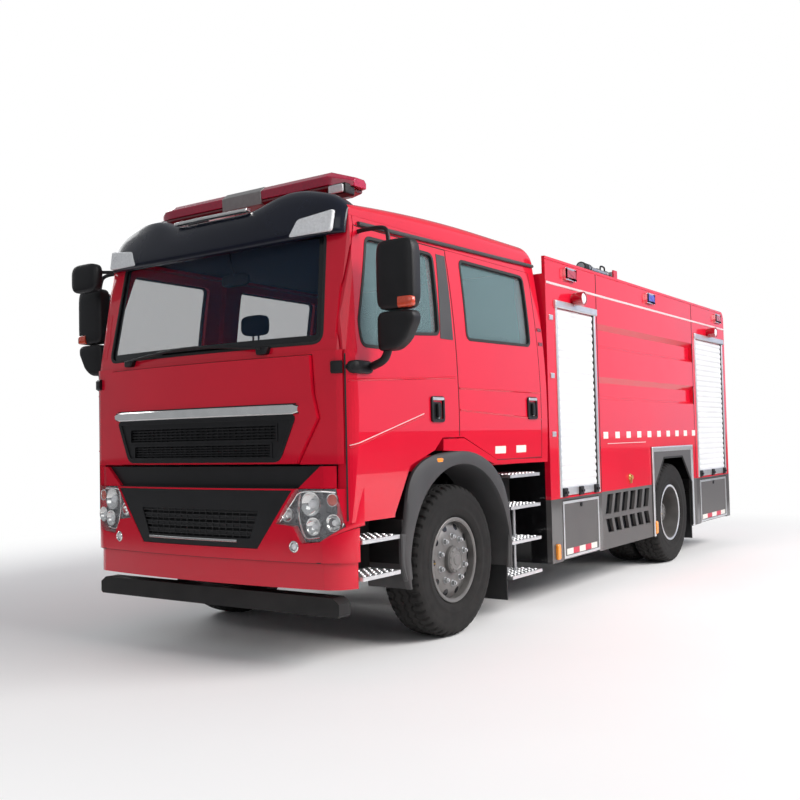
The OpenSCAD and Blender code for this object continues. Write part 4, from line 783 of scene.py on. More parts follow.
def lamp_insides():
    """Turned reflector bowls with a lens or an indicator glass each, and bright trim lines in the bucket."""
    bowls, lenses, indicators = [], [], []
    lamps = ((0.94, 1.03, 0.067, False), (0.958, 0.892, 0.05, False), (1.085, 0.914, 0.048, False),
             (0.763, 0.964, 0.042, False), (1.082, 1.055, 0.036, True))
    for y, z, r, amber in lamps:
        spot = (float(bumper_x(y, 0.05)), y, z)
        ahead = (1.0, 0.55 * max(0.0, y - 0.85), 0.0)
        bowl = [(0, -0.012), (r * 1.1, -0.01), (r * 1.15, 0.02), (r * 1.12, 0.031), (r, 0.03), (r * 0.8, 0.012),
                (r * 0.45, 0.0), (0.0, -0.004)]
        bowls.append(turned(bowl, spot, ahead, 36))
        if amber:
            glass = [(0, 0.018), (r * 0.96, 0.02), (r * 0.8, 0.028), (0, 0.032)]
        else:
            glass = [(0, -0.002), (r * 0.42, 0.0), (r * 0.42, 0.012), (r * 0.3, 0.022), (0, 0.026)]
        (indicators if amber else lenses).append(turned(glass, spot, ahead, 28))
    build("headlamp_bowls", both(bowls), "chrome")
    build("headlamp_lenses", both(lenses), "lamp_white")
    build("headlamp_indicators", both(indicators), "lamp_orange")
    paths = (((0.70, 0.915), (0.80, 1.04), (0.86, 1.10), (1.0, 1.108), (1.10, 1.10)),
             ((0.86, 1.09), (0.845, 0.99), (0.86, 0.90), (0.90, 0.82), (1.0, 0.825)))
    trim = [tube(bent([(bumper_x(y, 0.03), y, z) for y, z in path]), 0.006, 8) for path in paths]
    build("headlamp_trim", both(trim), "chrome")


def fog_lamps():
    """Fog lamps: a bright turned ring and a lens in each bumper end."""
    y, ahead = 0.826, (1, 0.1, 0)
    spot = (float(bumper_x(y, 0.0)) - 0.004, y, 0.766)
    ring = [(0, -0.022), (0.026, -0.02), (0.026, 0.004), (0.03, 0.009), (0.036, 0.004), (0.036, -0.04)]
    build("fog_rings", both([turned(ring, spot, ahead, 32)]), "chrome")
    lens = [(0, -0.02), (0.024, -0.016), (0.02, 0.0), (0, 0.006)]
    build("fog_lenses", both([turned(lens, spot, ahead, 24)]), "lamp_white")


# Doors and mirrors
def window_trim():
    """Rubber round the door windows, and the dark panel on the door post."""
    front = [(1.15, 2.01), (1.175, 2.15), (1.045, 2.56), (0.995, 2.725), (0.21, 2.725), (0.24, 2.15), (0.62, 2.125),
             (0.90, 2.01)]
    front = rounded([(AXLE_F + x, z) for x, z in front], 0.05)
    crew = rounded([(AXLE_F - 0.145, 2.142), (1.48, 2.16), (1.465, 2.735), (AXLE_F - 0.165, 2.735)], 0.055)
    for door, outline in (("front", dense(front, 0.1)), ("crew", dense(crew, 0.1))):
        seal = band(inset(outline, -0.012), inset(outline, 0.01), on_cab, -0.024, 0.004)
        per_side(door + "_window_seal", [seal], "dark_rubber", door + "_door", bevel=0.002)
    low, tall = 2.12, 0.618
    up = np.linspace(low, 2.738, 14)
    share = (up - low) / tall
    panel = ribbon(up, 2.692 - 0.02 * share, 2.862 - 0.072 * share, across(on_cab), -0.002, 0.003, 0.001)
    per_side("door_post_panel", [panel], "arch_plastic", "front_door")


def door_handles():
    """Handle of each door: a framed plate with a cup, a lever, a bright strip and a lock."""
    for door, x0, x1, z in (("front_door", 2.868, 3.036, 1.62), ("crew_door", 1.432, 1.60, 1.645)):
        mid = (x0 + x1) / 2
        plate = rounded(rectangle(x0, z - 0.09, x1, z + 0.09), 0.03)
        cup = tile((x0 + 0.028, z - 0.07, x1 - 0.028, z + 0.05), on_cab, -0.002, 0.004, corner=0.02)
        plates = [band(plate, inset(plate, 0.022), on_cab, -0.002, 0.014), cup]
        per_side(door + "_handle_plate", plates, "black_plastic", door, bevel=0.003)
        lever = tile((mid - 0.022, z - 0.06, mid + 0.022, z + 0.04), on_cab, 0.004, 0.026, 0.006, 0.016)
        per_side(door + "_handle_lever", [lever], "black_plastic", door, bevel=0.002)
        strip = tile((x0 + 0.012, z + 0.062, x1 - 0.012, z + 0.083), on_cab, 0.004, 0.018, 0.004, 0.008)
        lock = turned(button(0.012, 0.012, 0.009, 0.014), on_cab(mid, z - 0.052, 0.004), LEFT, 18)
        per_side(door + "_handle_bright", [strip, lock], "bright_alloy", door)


def door_creases():
    """Pressed creases of the doors, with a pale painted highlight along the front one, dark lines at the door
    edges and reflectors."""
    run, slope = np.linspace(2.70, 3.905, 40), np.linspace(3.12, 3.905, 28)
    rise = np.interp(run, [2.70, 2.9, 3.905], [1.85, 1.84, 1.79])
    fall = 1.58 - 0.2 * (slope - 3.12) / 0.785
    creases = [ribbon(run, rise - 0.008, rise + 0.008, on_door, -0.002, 0.007, 0.006),
               ribbon(slope, fall - 0.010, fall + 0.006, on_door, -0.002, 0.008, 0.006)]
    per_side("front_door_crease", creases, "red_paint", "front_door")
    # pale ribbon along the diagonal crease: a painted highlight, the light caught along the crease
    painted_highlight = ribbon(slope, fall + 0.005, fall + 0.011, on_door, -0.001, 0.003)
    per_side("front_door_painted_highlight", [painted_highlight], "stripe_pale", "front_door")
    run = np.linspace(1.355, 2.645, 20)
    creases = [ribbon(run, z - 0.007, z + 0.007, on_cab, -0.002, 0.007, 0.006)
               for z in (1.775 + 0 * run, 1.552 + 0.068 * (run - 1.27) / 1.38)]
    per_side("crew_door_crease", creases, "red_paint", "crew_door")
    edges = [edge_line(across(on_cab), 1.43, 2.785, 30, 2.658, 2.663),
             edge_line(across(on_door), 0.925, 1.955, 24, 3.9145, 3.9195),
             edge_line(on_cab, 2.66, 3.735, 24, 2.782, 2.787)]
    per_side("front_door_edge", edges, "dark_rubber", "front_door")
    edges = [edge_line(across(on_cab), 1.25, 2.785, 30, 1.343, 1.348),
             edge_line(on_cab, 1.345, 2.1, 16, 1.241, 1.246)]
    per_side("crew_door_edge", edges, "dark_rubber", "crew_door")
    marks = [tile((x, 1.29, x + 0.165, 1.347), on_cab, -0.001, 0.003, 0.001, 0.006) for x in (1.63, 1.97)]
    per_side("crew_door_reflector", marks, "tape_white", "crew_door")


def cab_side_trim():
    """Drip rail above the doors, one section carried back along the cab side, and vents in the rear corner."""
    front, length = 3.70, 2.455
    x = np.linspace(front, 1.245, 40)[:, None]
    z = 2.803 + 0.055 * (front - x) / length
    out, up = np.transpose([(-0.010, -0.013), (0.012, -0.013), (0.016, 0.0), (0.008, 0.013), (-0.010, 0.013)])
    build("drip_rails", both([loft(xyz(x, side_y(z) + 0.008 + out, z + up))]), "arch_plastic", bevel=0.002)
    vents = [tile((1.25, z, 1.325, z + 0.03), on_cab, -0.002, 0.006, 0.004, 0.008) for z in (2.29, 2.17)]
    build("cab_vents", both(vents), "lamp_dark")


def mirrors():
    """Mirror housings: rounded closed forms, the lower one drawn in to its arm; arms, glass and indicator."""
    x, y, half = AXLE_F + 1.095, 1.46, 0.14
    housings = []
    for low, high, taper in ((2.215, 2.65, 0.0), (1.965, 2.208, 0.5)):
        points, faces = pillow((0, 0, (low + high) / 2), (0.058, half, (high - low) / 2), 6.0, 24, 40)
        share = ((high - points[:, 2]) / (high - low)).clip(0, 1)
        points[:, 0] = x + points[:, 0] * (1 - 0.3 * taper * share) + 0.012 * np.cos(points[:, 1] / half) - 0.006
        points[:, 1] = y - half + (points[:, 1] + half) * (1 - taper * share ** 2.5)
        housings.append((points, faces))
    per_side("mirror_housing", housings, "black_plastic", "front_door", smooth=60)
    mark, mark_faces = pillow((x + 0.008, y + 0.001, 2.255), (0.0605, half + 0.001, 0.036), 6.0, 8, 40)
    mark[:, 0] = np.maximum(mark[:, 0], x + 0.03)
    mark[:, 1] = np.maximum(mark[:, 1], y + 0.035)
    per_side("mirror_indicator", [(mark, mark_faces)], "lamp_orange", "front_door", smooth=60)
    glasses = [tile((y - 0.118, low, y + wide, high), on_rear(x - 0.054), 0.0, 0.012, 0.003, 0.03)
               for low, high, wide in ((2.245, 2.62, 0.118), (2.04, 2.185, 0.07))]
    per_side("mirror_glass", glasses, "mirror_glass", "front_door")
    arm = tube(bent([(x - 0.005, 1.20, 1.875), (x + 0.005, 1.27, 1.885), (x + 0.008, 1.35, 1.92),
                     (x + 0.004, 1.385, 2.0)]), 0.026, 14)
    stay = tube(bent([(x - 0.03, 1.10, 2.748), (x - 0.02, 1.22, 2.752), (x - 0.01, 1.36, 2.735), (x, 1.395, 2.64)]),
                0.014, 12)
    pad_x, pad_z = np.linspace(3.712, 3.914, 16), 1.872
    ease = 0.041 * np.sqrt(np.clip(1 - np.abs((pad_x - 3.813) / 0.101) ** 8, 0.05, 1))
    pad = ribbon(pad_x, pad_z - ease, pad_z + ease, on_door, -0.004, 0.026, 0.01)
    per_side("mirror_arm", [arm, pad], "black_plastic", "front_door", smooth=45)
    cover = ribbon(np.linspace(0.0, 0.11, 12), 1.833, 1.911, on_corner, -0.004, 0.022, 0.01)
    build("mirror_base_covers", both([cover]), "black_plastic")
    build("mirror_stay_left", [stay], "black_plastic", "front_door_left", stands_for=["mirrors_left"])
    kerb_stay = [(1.105, -1.10, 2.748), (1.14, -1.19, 2.752), (1.2, -1.24, 2.75), (1.26, -1.26, 2.745)]
    kerb = [tube(bent([(AXLE_F + a, b, c) for a, b, c in kerb_stay]), 0.013, 10),
            pillow((AXLE_F + 1.27, -1.32, 2.70), (0.05, 0.15, 0.11), 4.0, 18, 32)]
    build("mirror_stay_right", [mirrored(stay), *kerb], "black_plastic", "front_door_right", smooth=60,
          stands_for=["mirrors_right"])
    face = tile((-1.43, 2.62, -1.21, 2.78), on_rear(AXLE_F + 1.232), 0.0, 0.012, 0.003, 0.04)
    build("kerb_mirror_glass", [face], "mirror_glass", "front_door_right")


# Body
def shutter_frame(a0, a1, sill, foot, place, proud):
    """Guides and top rail of a roller shutter between two edges, and its bottom bar."""
    guide_w, rail_over = 0.036, 0.055
    frame_parts = [tile((a, foot, a + guide_w, SHUTTER_TOP + 0.03), place, -0.004, proud, 0.004)
                   for a in (a0 - guide_w, a1)]
    frame_parts.append(tile((a0 - rail_over, SHUTTER_TOP, a1 + rail_over, SHUTTER_TOP + 0.062), place,
                            -0.004, 0.022, 0.006))
    return frame_parts, tile((a0 + 0.006, sill + 0.004, a1 - 0.006, sill + 0.075), place, -0.012, 0.002, 0.004)


def shutter_trim():
    """Bright guides, top rails and bottom bars of the roller shutters, with seals, black latches and a grip."""
    rails, latches, pulls, seals = [], [], [], []
    for x0, x1 in SHUTTERS:
        sides, pull = shutter_frame(x0, x1, SHUTTER_LOW, SHUTTER_LOW - 0.005, on_body, 0.01)
        rails += sides
        pulls.append(pull)
        for x in (x0 + 0.055, (x0 + x1) / 2, x1 - 0.055):
            latches += [tile((x - 0.04, 0.885, x + 0.04, 0.962), on_body, -0.002, 0.02, 0.006, 0.01),
                        tile((x - 0.026, 0.91, x + 0.026, 0.935), on_body, 0.018, 0.034, 0.004, 0.008)]
        seals += [tile((a, SHUTTER_LOW, a + 0.013, SHUTTER_TOP), on_body, -0.05, -0.001)
                  for a in (x0 + 0.0005, x1 - 0.0135)]
    build("shutter_rails", both(rails), "bright_alloy", bevel=0.0015)
    build("shutter_seals", both(seals), "dark_rubber")
    build("shutter_pulls", both(pulls), "bright_alloy", bevel=0.002)
    build("shutter_latches", both(latches), "black_plastic", bevel=0.0015)
    half, sill = 0.56, 1.12
    sides, pull = shutter_frame(-half, half, sill, sill - 0.02, on_rear(BODY_REAR), 0.012)
    build("rear_shutter_rails", sides + [pull], "bright_alloy", bevel=0.0015)
    path = [(0.004, -0.11), (-0.03, -0.105), (-0.035, 0.0), (-0.03, 0.105), (0.004, 0.11)]
    grip = tube(bent([(BODY_REAR + x, y, sill + 0.05) for x, y in path]), 0.009, 10)
    build("rear_shutter_grip", [grip], "black_plastic")


def flap_trim():
    """Bright frame, reflective strip and lock on each fold-down flap."""
    for name, (x0, x1) in zip(("flap_front", "flap_rear"), SHUTTERS):
        x0, x1 = x0 + 0.008, x1 - 0.008
        outer = rectangle(x0, 0.356, x1, 0.846)
        rim = band(outer, inset(outer, 0.022), on_body, -0.002, 0.007)
        per_side(name + "_frame", [rim], "bright_alloy", name, bevel=0.002)
        count, margin = 5, 0.06
        step = (x1 - x0 - 2 * margin) / count
        blocks = [tile((x0 + margin + k * step, 0.385, x0 + margin + (k + 1) * step, 0.436), on_body,
                       -0.001, 0.0025) for k in range(count)]
        per_side(name + "_strip_white", blocks[0::2], "tape_white", name)
        per_side(name + "_strip_red", blocks[1::2], "tape_red", name)
        lock = turned(button(0.02, 0.008, 0.012, 0.012), ((x0 + x1) / 2, HALF_BODY, 0.80), LEFT, 24)
        per_side(name + "_lock", [lock], "black_plastic", name)


def body_stripes():
    """Pale stripe, reflective squares, thin line and module seams on the body sides."""
    stripe = tile((BODY_REAR + 0.01, 2.715, BODY_FRONT - 0.01, 2.737), on_body, -0.002, 0.006, 0.003)
    build("body_stripe", both([stripe]), "stripe_pale")
    squares = [tile((x - 0.055, 1.376, x + 0.055, 1.44), on_body, -0.001, 0.0025, corner=0.006)
               for x in np.linspace(-0.02, -2.62, 10)]
    build("body_reflectors", both(squares), "tape_white")
    thin = tile((-1.06, 1.325, -0.06, 1.331), on_body, -0.001, 0.0025)
    build("body_thin_line", both([thin]), "stripe_pale")
    seams = [tile((x - 0.006, DECK_Z, x + 0.006, BODY_TOP - 0.02), on_body, -0.004, 0.0015)
             for x in (TANK_FRONT, TANK_REAR)]
    build("body_seams", both(seams), "dark_rubber")


def body_lamps():
    """Strobes with bezels under the roof edge, round lamps above the shutters and side markers."""
    bezels, lenses = [], {"red": [], "blue": []}
    for x, tone in ((0.715, "red"), (AXLE_R + 0.575, "blue"), (BODY_REAR + 0.31, "red")):
        outer = rounded(rectangle(x - 0.11, 2.786, x + 0.11, 2.897), 0.016)
        bezels.append(band(outer, inset(outer, 0.014), on_body, 0.0, 0.026))
        lenses[tone].append(slab(inset(outer, 0.013), on_body, 0.0, 0.034, 0.01))
    build("strobe_bezels", both(bezels), "chrome", bevel=0.002)
    for tone, parts in lenses.items():
        build("strobe_lenses_" + tone, both(parts), "lamp_" + tone, bevel=0.003)
    hood = [(0.05, 0.0), (0.058, 0.02), (0.062, 0.09), (0.062, 0.11), (0.055, 0.111), (0.053, 0.098), (0, 0.096)]
    face = [(0, 0.094), (0.05, 0.1), (0.035, 0.112), (0, 0.116)]
    spots = [(x, HALF_BODY, 2.63) for x in (BODY_FRONT - 0.555, BODY_REAR + 0.705)]
    hoods = [turned(hood, spot, LEFT, 36) for spot in spots]
    faces = [turned(face, spot, LEFT, 32) for spot in spots]
    build("round_lamp_hoods", both(hoods), "lamp_red", stands_for=["lamps"])
    build("round_lamp_faces", both(faces), "lamp_white")
    markers = [tile((x - 0.03, 0.364, x + 0.03, 0.498), on_body, out - 0.002, out + 0.024, 0.008, 0.022)
               for x, out in ((BODY_FRONT - 0.095, 0.0), (AXLE_R + 0.615, 0.01))]
    build("side_markers", both(markers), "lamp_amber", bevel=0.002)


def body_fittings():
    """Tabs on the front pillar and, on the left only, the filler fitting."""
    tabs = [tile((1.065, z - 0.022, 1.135, z + 0.022), on_body, -0.001, 0.01, 0.003, 0.006)
            for z in (2.43, 1.93, 1.43)]
    build("pillar_tabs", both(tabs), "bright_alloy", bevel=0.0015)
    x, z = -0.598, 0.985
    cap = [(0.036, 0), (0.036, 0.008), (0.024, 0.014), (0.022, 0.03), (0.012, 0.034), (0, 0.034)]
    lever = tile((-0.612, 0.925, -0.584, z), on_body, 0.0, 0.022, 0.004, 0.01)
    build("filler_fitting", [turned(cap, (x, HALF_BODY, z), LEFT, 28), lever], "brass", bevel=0.002)


def wheel_panels():
    """Bright frames and rubber lips of the rear wheel panels, and a black sheet behind the louvres as painted shade
    in their openings.
    """
    half, top, foot = 0.66, 1.272, 0.34
    panel = np.array([(AXLE_R - half, foot), (AXLE_R - half, top), (AXLE_R + half, top), (AXLE_R + half, foot)])
    inward = np.array([(1, 0), (1, -1), (-1, -1), (-1, 0)])
    section = ((0, 0.008), (0, 0.016), (0.012, 0.022), (0.052, 0.014), (0.054, 0.008))
    rings = np.stack([lay(panel + width * inward, on_body, out) for width, out in section], axis=1)
    build("wheel_panel_frames", both([loft(rings)]), "bright_alloy", bevel=0.0015)
    lip = [(-0.6, 0.36), (-0.6, 0.85), (-0.3, 1.15), (0.3, 1.15), (0.6, 0.85), (0.6, 0.36)]
    path = divided([(AXLE_R + x, z) for x, z in lip], 8, closed=False)
    build("wheel_panel_lips", both([tube(lay(path, on_body, 0.008), 0.011, 8)]), "dark_rubber")
    # black sheet behind the louvre slots: painted shade that darkens the openings
    back = tile((AXLE_R + 0.68, 0.42, TANK_FRONT - 0.03, 0.868), on_body, -0.06, -0.034)
    build("louvre_painted_shade", both([back]), "frit_black")


def body_roof():
    """Rolled upper edge of the body sides and the ribbed deck plate between them."""
    edge = tile((BODY_REAR + 0.115, BODY_TOP - 0.03, BODY_FRONT - 0.004, BODY_TOP), on_body, -0.03, 0.005, 0.004)
    build("body_top_edge", both([edge]), "red_paint", bevel=0.004)
    limits = (BODY_REAR + 0.03, -HALF_BODY + 0.035, BODY_FRONT - 0.03, HALF_BODY - 0.035)
    build("roof_deck_plate", [tile(limits, on_top(2.80), 0.0005, 0.006)], "deck_plate", bevel=0.002)


def rear_trim():
    """Tail lamps, blank number plate and reflectors at the back."""
    face = on_rear(BODY_REAR)
    tones = {"red": 0.80, "amber": 0.93, "white": 1.06}
    cases = [tile((y - 0.065, 0.60, y + 0.065, 0.78), face, -0.004, 0.014, 0.004, 0.02) for y in tones.values()]
    build("tail_lamp_cases", both(cases), "black_plastic", bevel=0.002)
    for tone, y in tones.items():
        lamp = tile((y - 0.05, 0.615, y + 0.05, 0.765), face, 0.012, 0.028, 0.008, 0.016)
        build("tail_lamps_" + tone, both([lamp]), "lamp_" + tone, bevel=0.002)
    build("rear_plate", [tile((-0.24, 0.86, 0.24, 0.98), face, -0.002, 0.006, 0.002, 0.012)], "tape_white")
    strips = [tile((y, 0.92, y + 0.14, 0.97), face, -0.001, 0.003) for y in (0.55, 0.83)]
    build("rear_reflectors", both(strips), "tape_red")


def step_trim():
    """Raised grips on the step treads, posts with plates between the crew treads, and arch markers."""
    stairs = ((AXLE_F + 0.80, AXLE_F + 1.18, (0.80, 0.572)),
              (AXLE_F - 1.235, AXLE_F - 0.755, (1.118, 0.87, 0.597, 0.328)))
    dimple = [(0.017, -0.001), (0.014, 0.006), (0.008, 0.0065), (0.006, 0.002), (0, 0.002)]
    grips = [turned(dimple, (x, y, z), UP, 12) for x0, x1, heights in stairs for z in heights
             for y in (0.99, 1.05, 1.11, 1.17) for x in np.arange(x0 + 0.03, x1 - 0.01, 0.06)]
    build("step_grips", both(grips), "bright_alloy")
    posts = []
    for x in (AXLE_F - 1.06, AXLE_F - 0.93):
        posts.append(tube([(x, 1.06, z) for z in (0.33, 0.6, 0.86)], 0.016, 12))
        posts += [tile((x - 0.05, 1.0, x + 0.05, 1.12), on_top(z), 0.0, 0.014, corner=0.02) for z in (0.83, 0.556)]
    build("step_posts", both(posts), "steel", bevel=0.002)
    mark = pillow((AXLE_F + 0.30, HALF_CAB - 0.004, 1.265), (0.045, 0.014, 0.018), 4.0, 8, 20)
    build("fender_markers", both([mark]), "lamp_amber")


def arch_mouldings():
    """Wheel arch moulding: at each angle round the front wheel a closed section spans from the arch circle to an
    outer line; its outer face is crowned, and a flange runs inward along the circle."""
    angle = np.radians(np.linspace(-9.0, 190.0, 120))

    def polar(radius):
        """Points round the front axle at a radius, as a column of the section."""
        return np.stack([AXLE_F + radius * np.cos(angle), WHEEL_R + radius * np.sin(angle)], axis=1)[:, None]
    turn = [-9, 6, 20, 29, 36, 41, 47, 51, 56, 60, 66, 72, 81, 98, 114, 128, 138, 146, 152, 160, 172, 190]
    reach = [0.70, 0.775, 0.787, 0.80, 0.855, 0.888, 0.898, 0.892, 0.874, 0.858, 0.834, 0.808, 0.788, 0.786, 0.797,
             0.81, 0.812, 0.795, 0.765, 0.745, 0.725, 0.70]
    inner, outer, flange = polar(0.685), polar(eased(np.interp(angle, np.radians(turn), reach), 4)), polar(0.703)
    shares = np.array([0.0, 0.0, 0.06, 0.3, 0.62, 0.88, 1.0, 1.0])
    ring = np.concatenate([inner + (outer - inner) * shares[None, :, None], flange, flange, inner], axis=1)
    depth = np.array([1.19, 1.212, 1.228, 1.234, 1.234, 1.228, 1.214, 1.192, 1.192, 0.88, 0.88])
    section = loft(xyz(ring[..., 0], depth, ring[..., 1]))
    build("arch_moulding", both([section]), "arch_plastic", smooth=50, stands_for=["fenders"])
    front = [(0.66, 0.487), (0.737, 0.487), (0.783, 0.60), (0.783, 0.80), (0.70, 0.80)]
    rear = [(-0.725, 0.407), (-0.66, 0.407), (-0.68, 0.75), (-0.66, 0.93), (-0.70, 0.90)]
    legs = [slab(rounded([(AXLE_F + x, z) for x, z in leg], corner), on_side(1.2), 0.0, proud, 0.008)
            for leg, corner, proud in ((front, 0.02, 0.028), (rear, 0.015, 0.026))]
    build("arch_legs", both(legs), "arch_plastic", bevel=0.003)


def step_wells():
    """Dark walls and brackets of the step wells, as boxes between two corners, and the mud flaps."""
    front, crew, thick, inner, outer = AXLE_F + 0.74, AXLE_F - 0.73, 0.018, 0.93, 1.2
    wall, rear_x = inner - thick, AXLE_R - 0.70
    wells = [((front, wall, 0.50), (front + 0.46, inner, 0.89)),
             ((front - thick, wall, 0.60), (front, outer, 0.89)),
             ((crew - 0.52, wall, 0.30), (crew, inner, 1.13)), ((crew, wall, 0.42), (crew + thick, outer, 0.93)),
             ((front + 0.06, 0.43, 0.90), (front + 0.12, wall, 0.96)),
             ((crew - 0.26, 0.43, 0.90), (crew - 0.20, wall, 0.96)),
             ((rear_x, 0.43, 0.70), (AXLE_R - 0.66, 1.18, 0.74))]
    boxes = [tile((*a[:2], *b[:2]), on_top(a[2]), 0.0, b[2] - a[2]) for a, b in wells]
    build("step_wells", both(boxes), "chassis_black", bevel=0.004)
    flaps = [ribbon(np.linspace(z0, z1, 10), y0, 1.18, across(on_front(x)), 0.0, 0.012, 0.002)
             for x, y0, z0, z1 in ((crew + thick, 0.90, 0.15, 0.60), (rear_x, 0.59, 0.19, 0.70))]
    build("mud_flaps", both(flaps), "dark_rubber")


def monitor_trim():
    """Foam monitor: black nozzle with ribs, rings and grip on the barrel, and bolts of the pedestal flange."""
    x, z, body = BODY_REAR + 0.77, 3.47, "monitor_barrel"
    pivot = (x, 0, z)
    nozzle = [(0.0, 0.675), (0.04, 0.675), (0.05, 0.69), (0.06, 0.70), (0.06, 0.73), (0.056, 0.735), (0.056, 0.76),
              (0.06, 0.765), (0.06, 0.86), (0.064, 0.87), (0.064, 0.9), (0.05, 0.901), (0.044, 0.86), (0, 0.85)]
    build("monitor_nozzle", [turned(nozzle, pivot, AHEAD, 40)], "dark_rubber", body)
    rings = [turned([(0.036, a), (0.046, a + 0.004), (0.046, a + 0.022), (0.036, a + 0.026)], pivot, AHEAD, 36)
             for a in (0.12, 0.40, 0.60)]
    build("monitor_rings", rings, "steel", body)
    path = [(0.16, 0.03), (0.175, 0.085), (0.285, 0.085), (0.30, 0.03)]
    build("monitor_grip", [tube(bent([(x + a, 0, z + b) for a, b in path]), 0.011, 10)], "black_plastic", body)
    ring = 0.115
    bolts = [turned(stud(0.012, 0.012), (x + ring * math.cos(a), ring * math.sin(a), 2.84), UP, 6)
             for a in circle(8)]
    build("monitor_bolts", bolts, "steel")


# Wheels
def tyre(axle_x, mid_y):
    """Tyre: a section of rubber turned about the axle; over the crown the radius drops by the groove depth where
    a zigzag rib line, or a cross slot at the shoulder, passes, as a function of the angle and the distance
    across."""
    count, waves, half_tread, depth = 384, 48, 0.124, 0.013
    rib_half, shoulder, slot_half, tread_foot = 0.0075, 0.083, 0.36, 0.508
    wall_r, wall_y = np.transpose([
        (0.290, 0.114), (0.306, 0.114), (0.315, 0.128), (0.335, 0.139), (0.36, 0.1445), (0.372, 0.1475),
        (0.376, 0.146), (0.40, 0.148), (0.43, 0.1495), (0.455, 0.15), (0.462, 0.148), (0.468, 0.149), (0.49, 0.146),
        (0.51, 0.140), (0.520, 0.134)])
    crown_y = np.linspace(half_tread, -half_tread, 57)
    crown_r = WHEEL_R - 0.012 * (np.abs(crown_y) / half_tread) ** 4
    radius = np.concatenate([wall_r, crown_r, wall_r[::-1]])
    y = np.concatenate([wall_y, crown_y, -wall_y[::-1]])
    angle = circle(count)[:, None]
    zigzag = 0.007 * np.clip(3 * np.sin(angle * waves), -1, 1)
    slot = np.clip((slot_half - np.abs(((angle * waves / math.pi + np.sign(y) * 0.5) % 2) - 1)) / 0.12, 0, 1)
    groove = slot * np.clip((np.abs(y) - shoulder) / 0.005, 0, 1)
    for line in (-0.062, 0.0, 0.062):
        groove = np.maximum(groove, np.clip((rib_half - np.abs(y - line - zigzag)) / 0.002, 0, 1))
    r = radius - depth * groove * np.clip((radius - tread_foot) / 0.012, 0, 1)
    return loft(xyz(axle_x + r * np.cos(angle), mid_y + y, WHEEL_R + r * np.sin(angle)), wrap=True)


def round_axle(axle, radius, y, angle):
    """Point at an angle round an axle."""
    return axle + radius * math.cos(angle), y, WHEEL_R + radius * math.sin(angle)


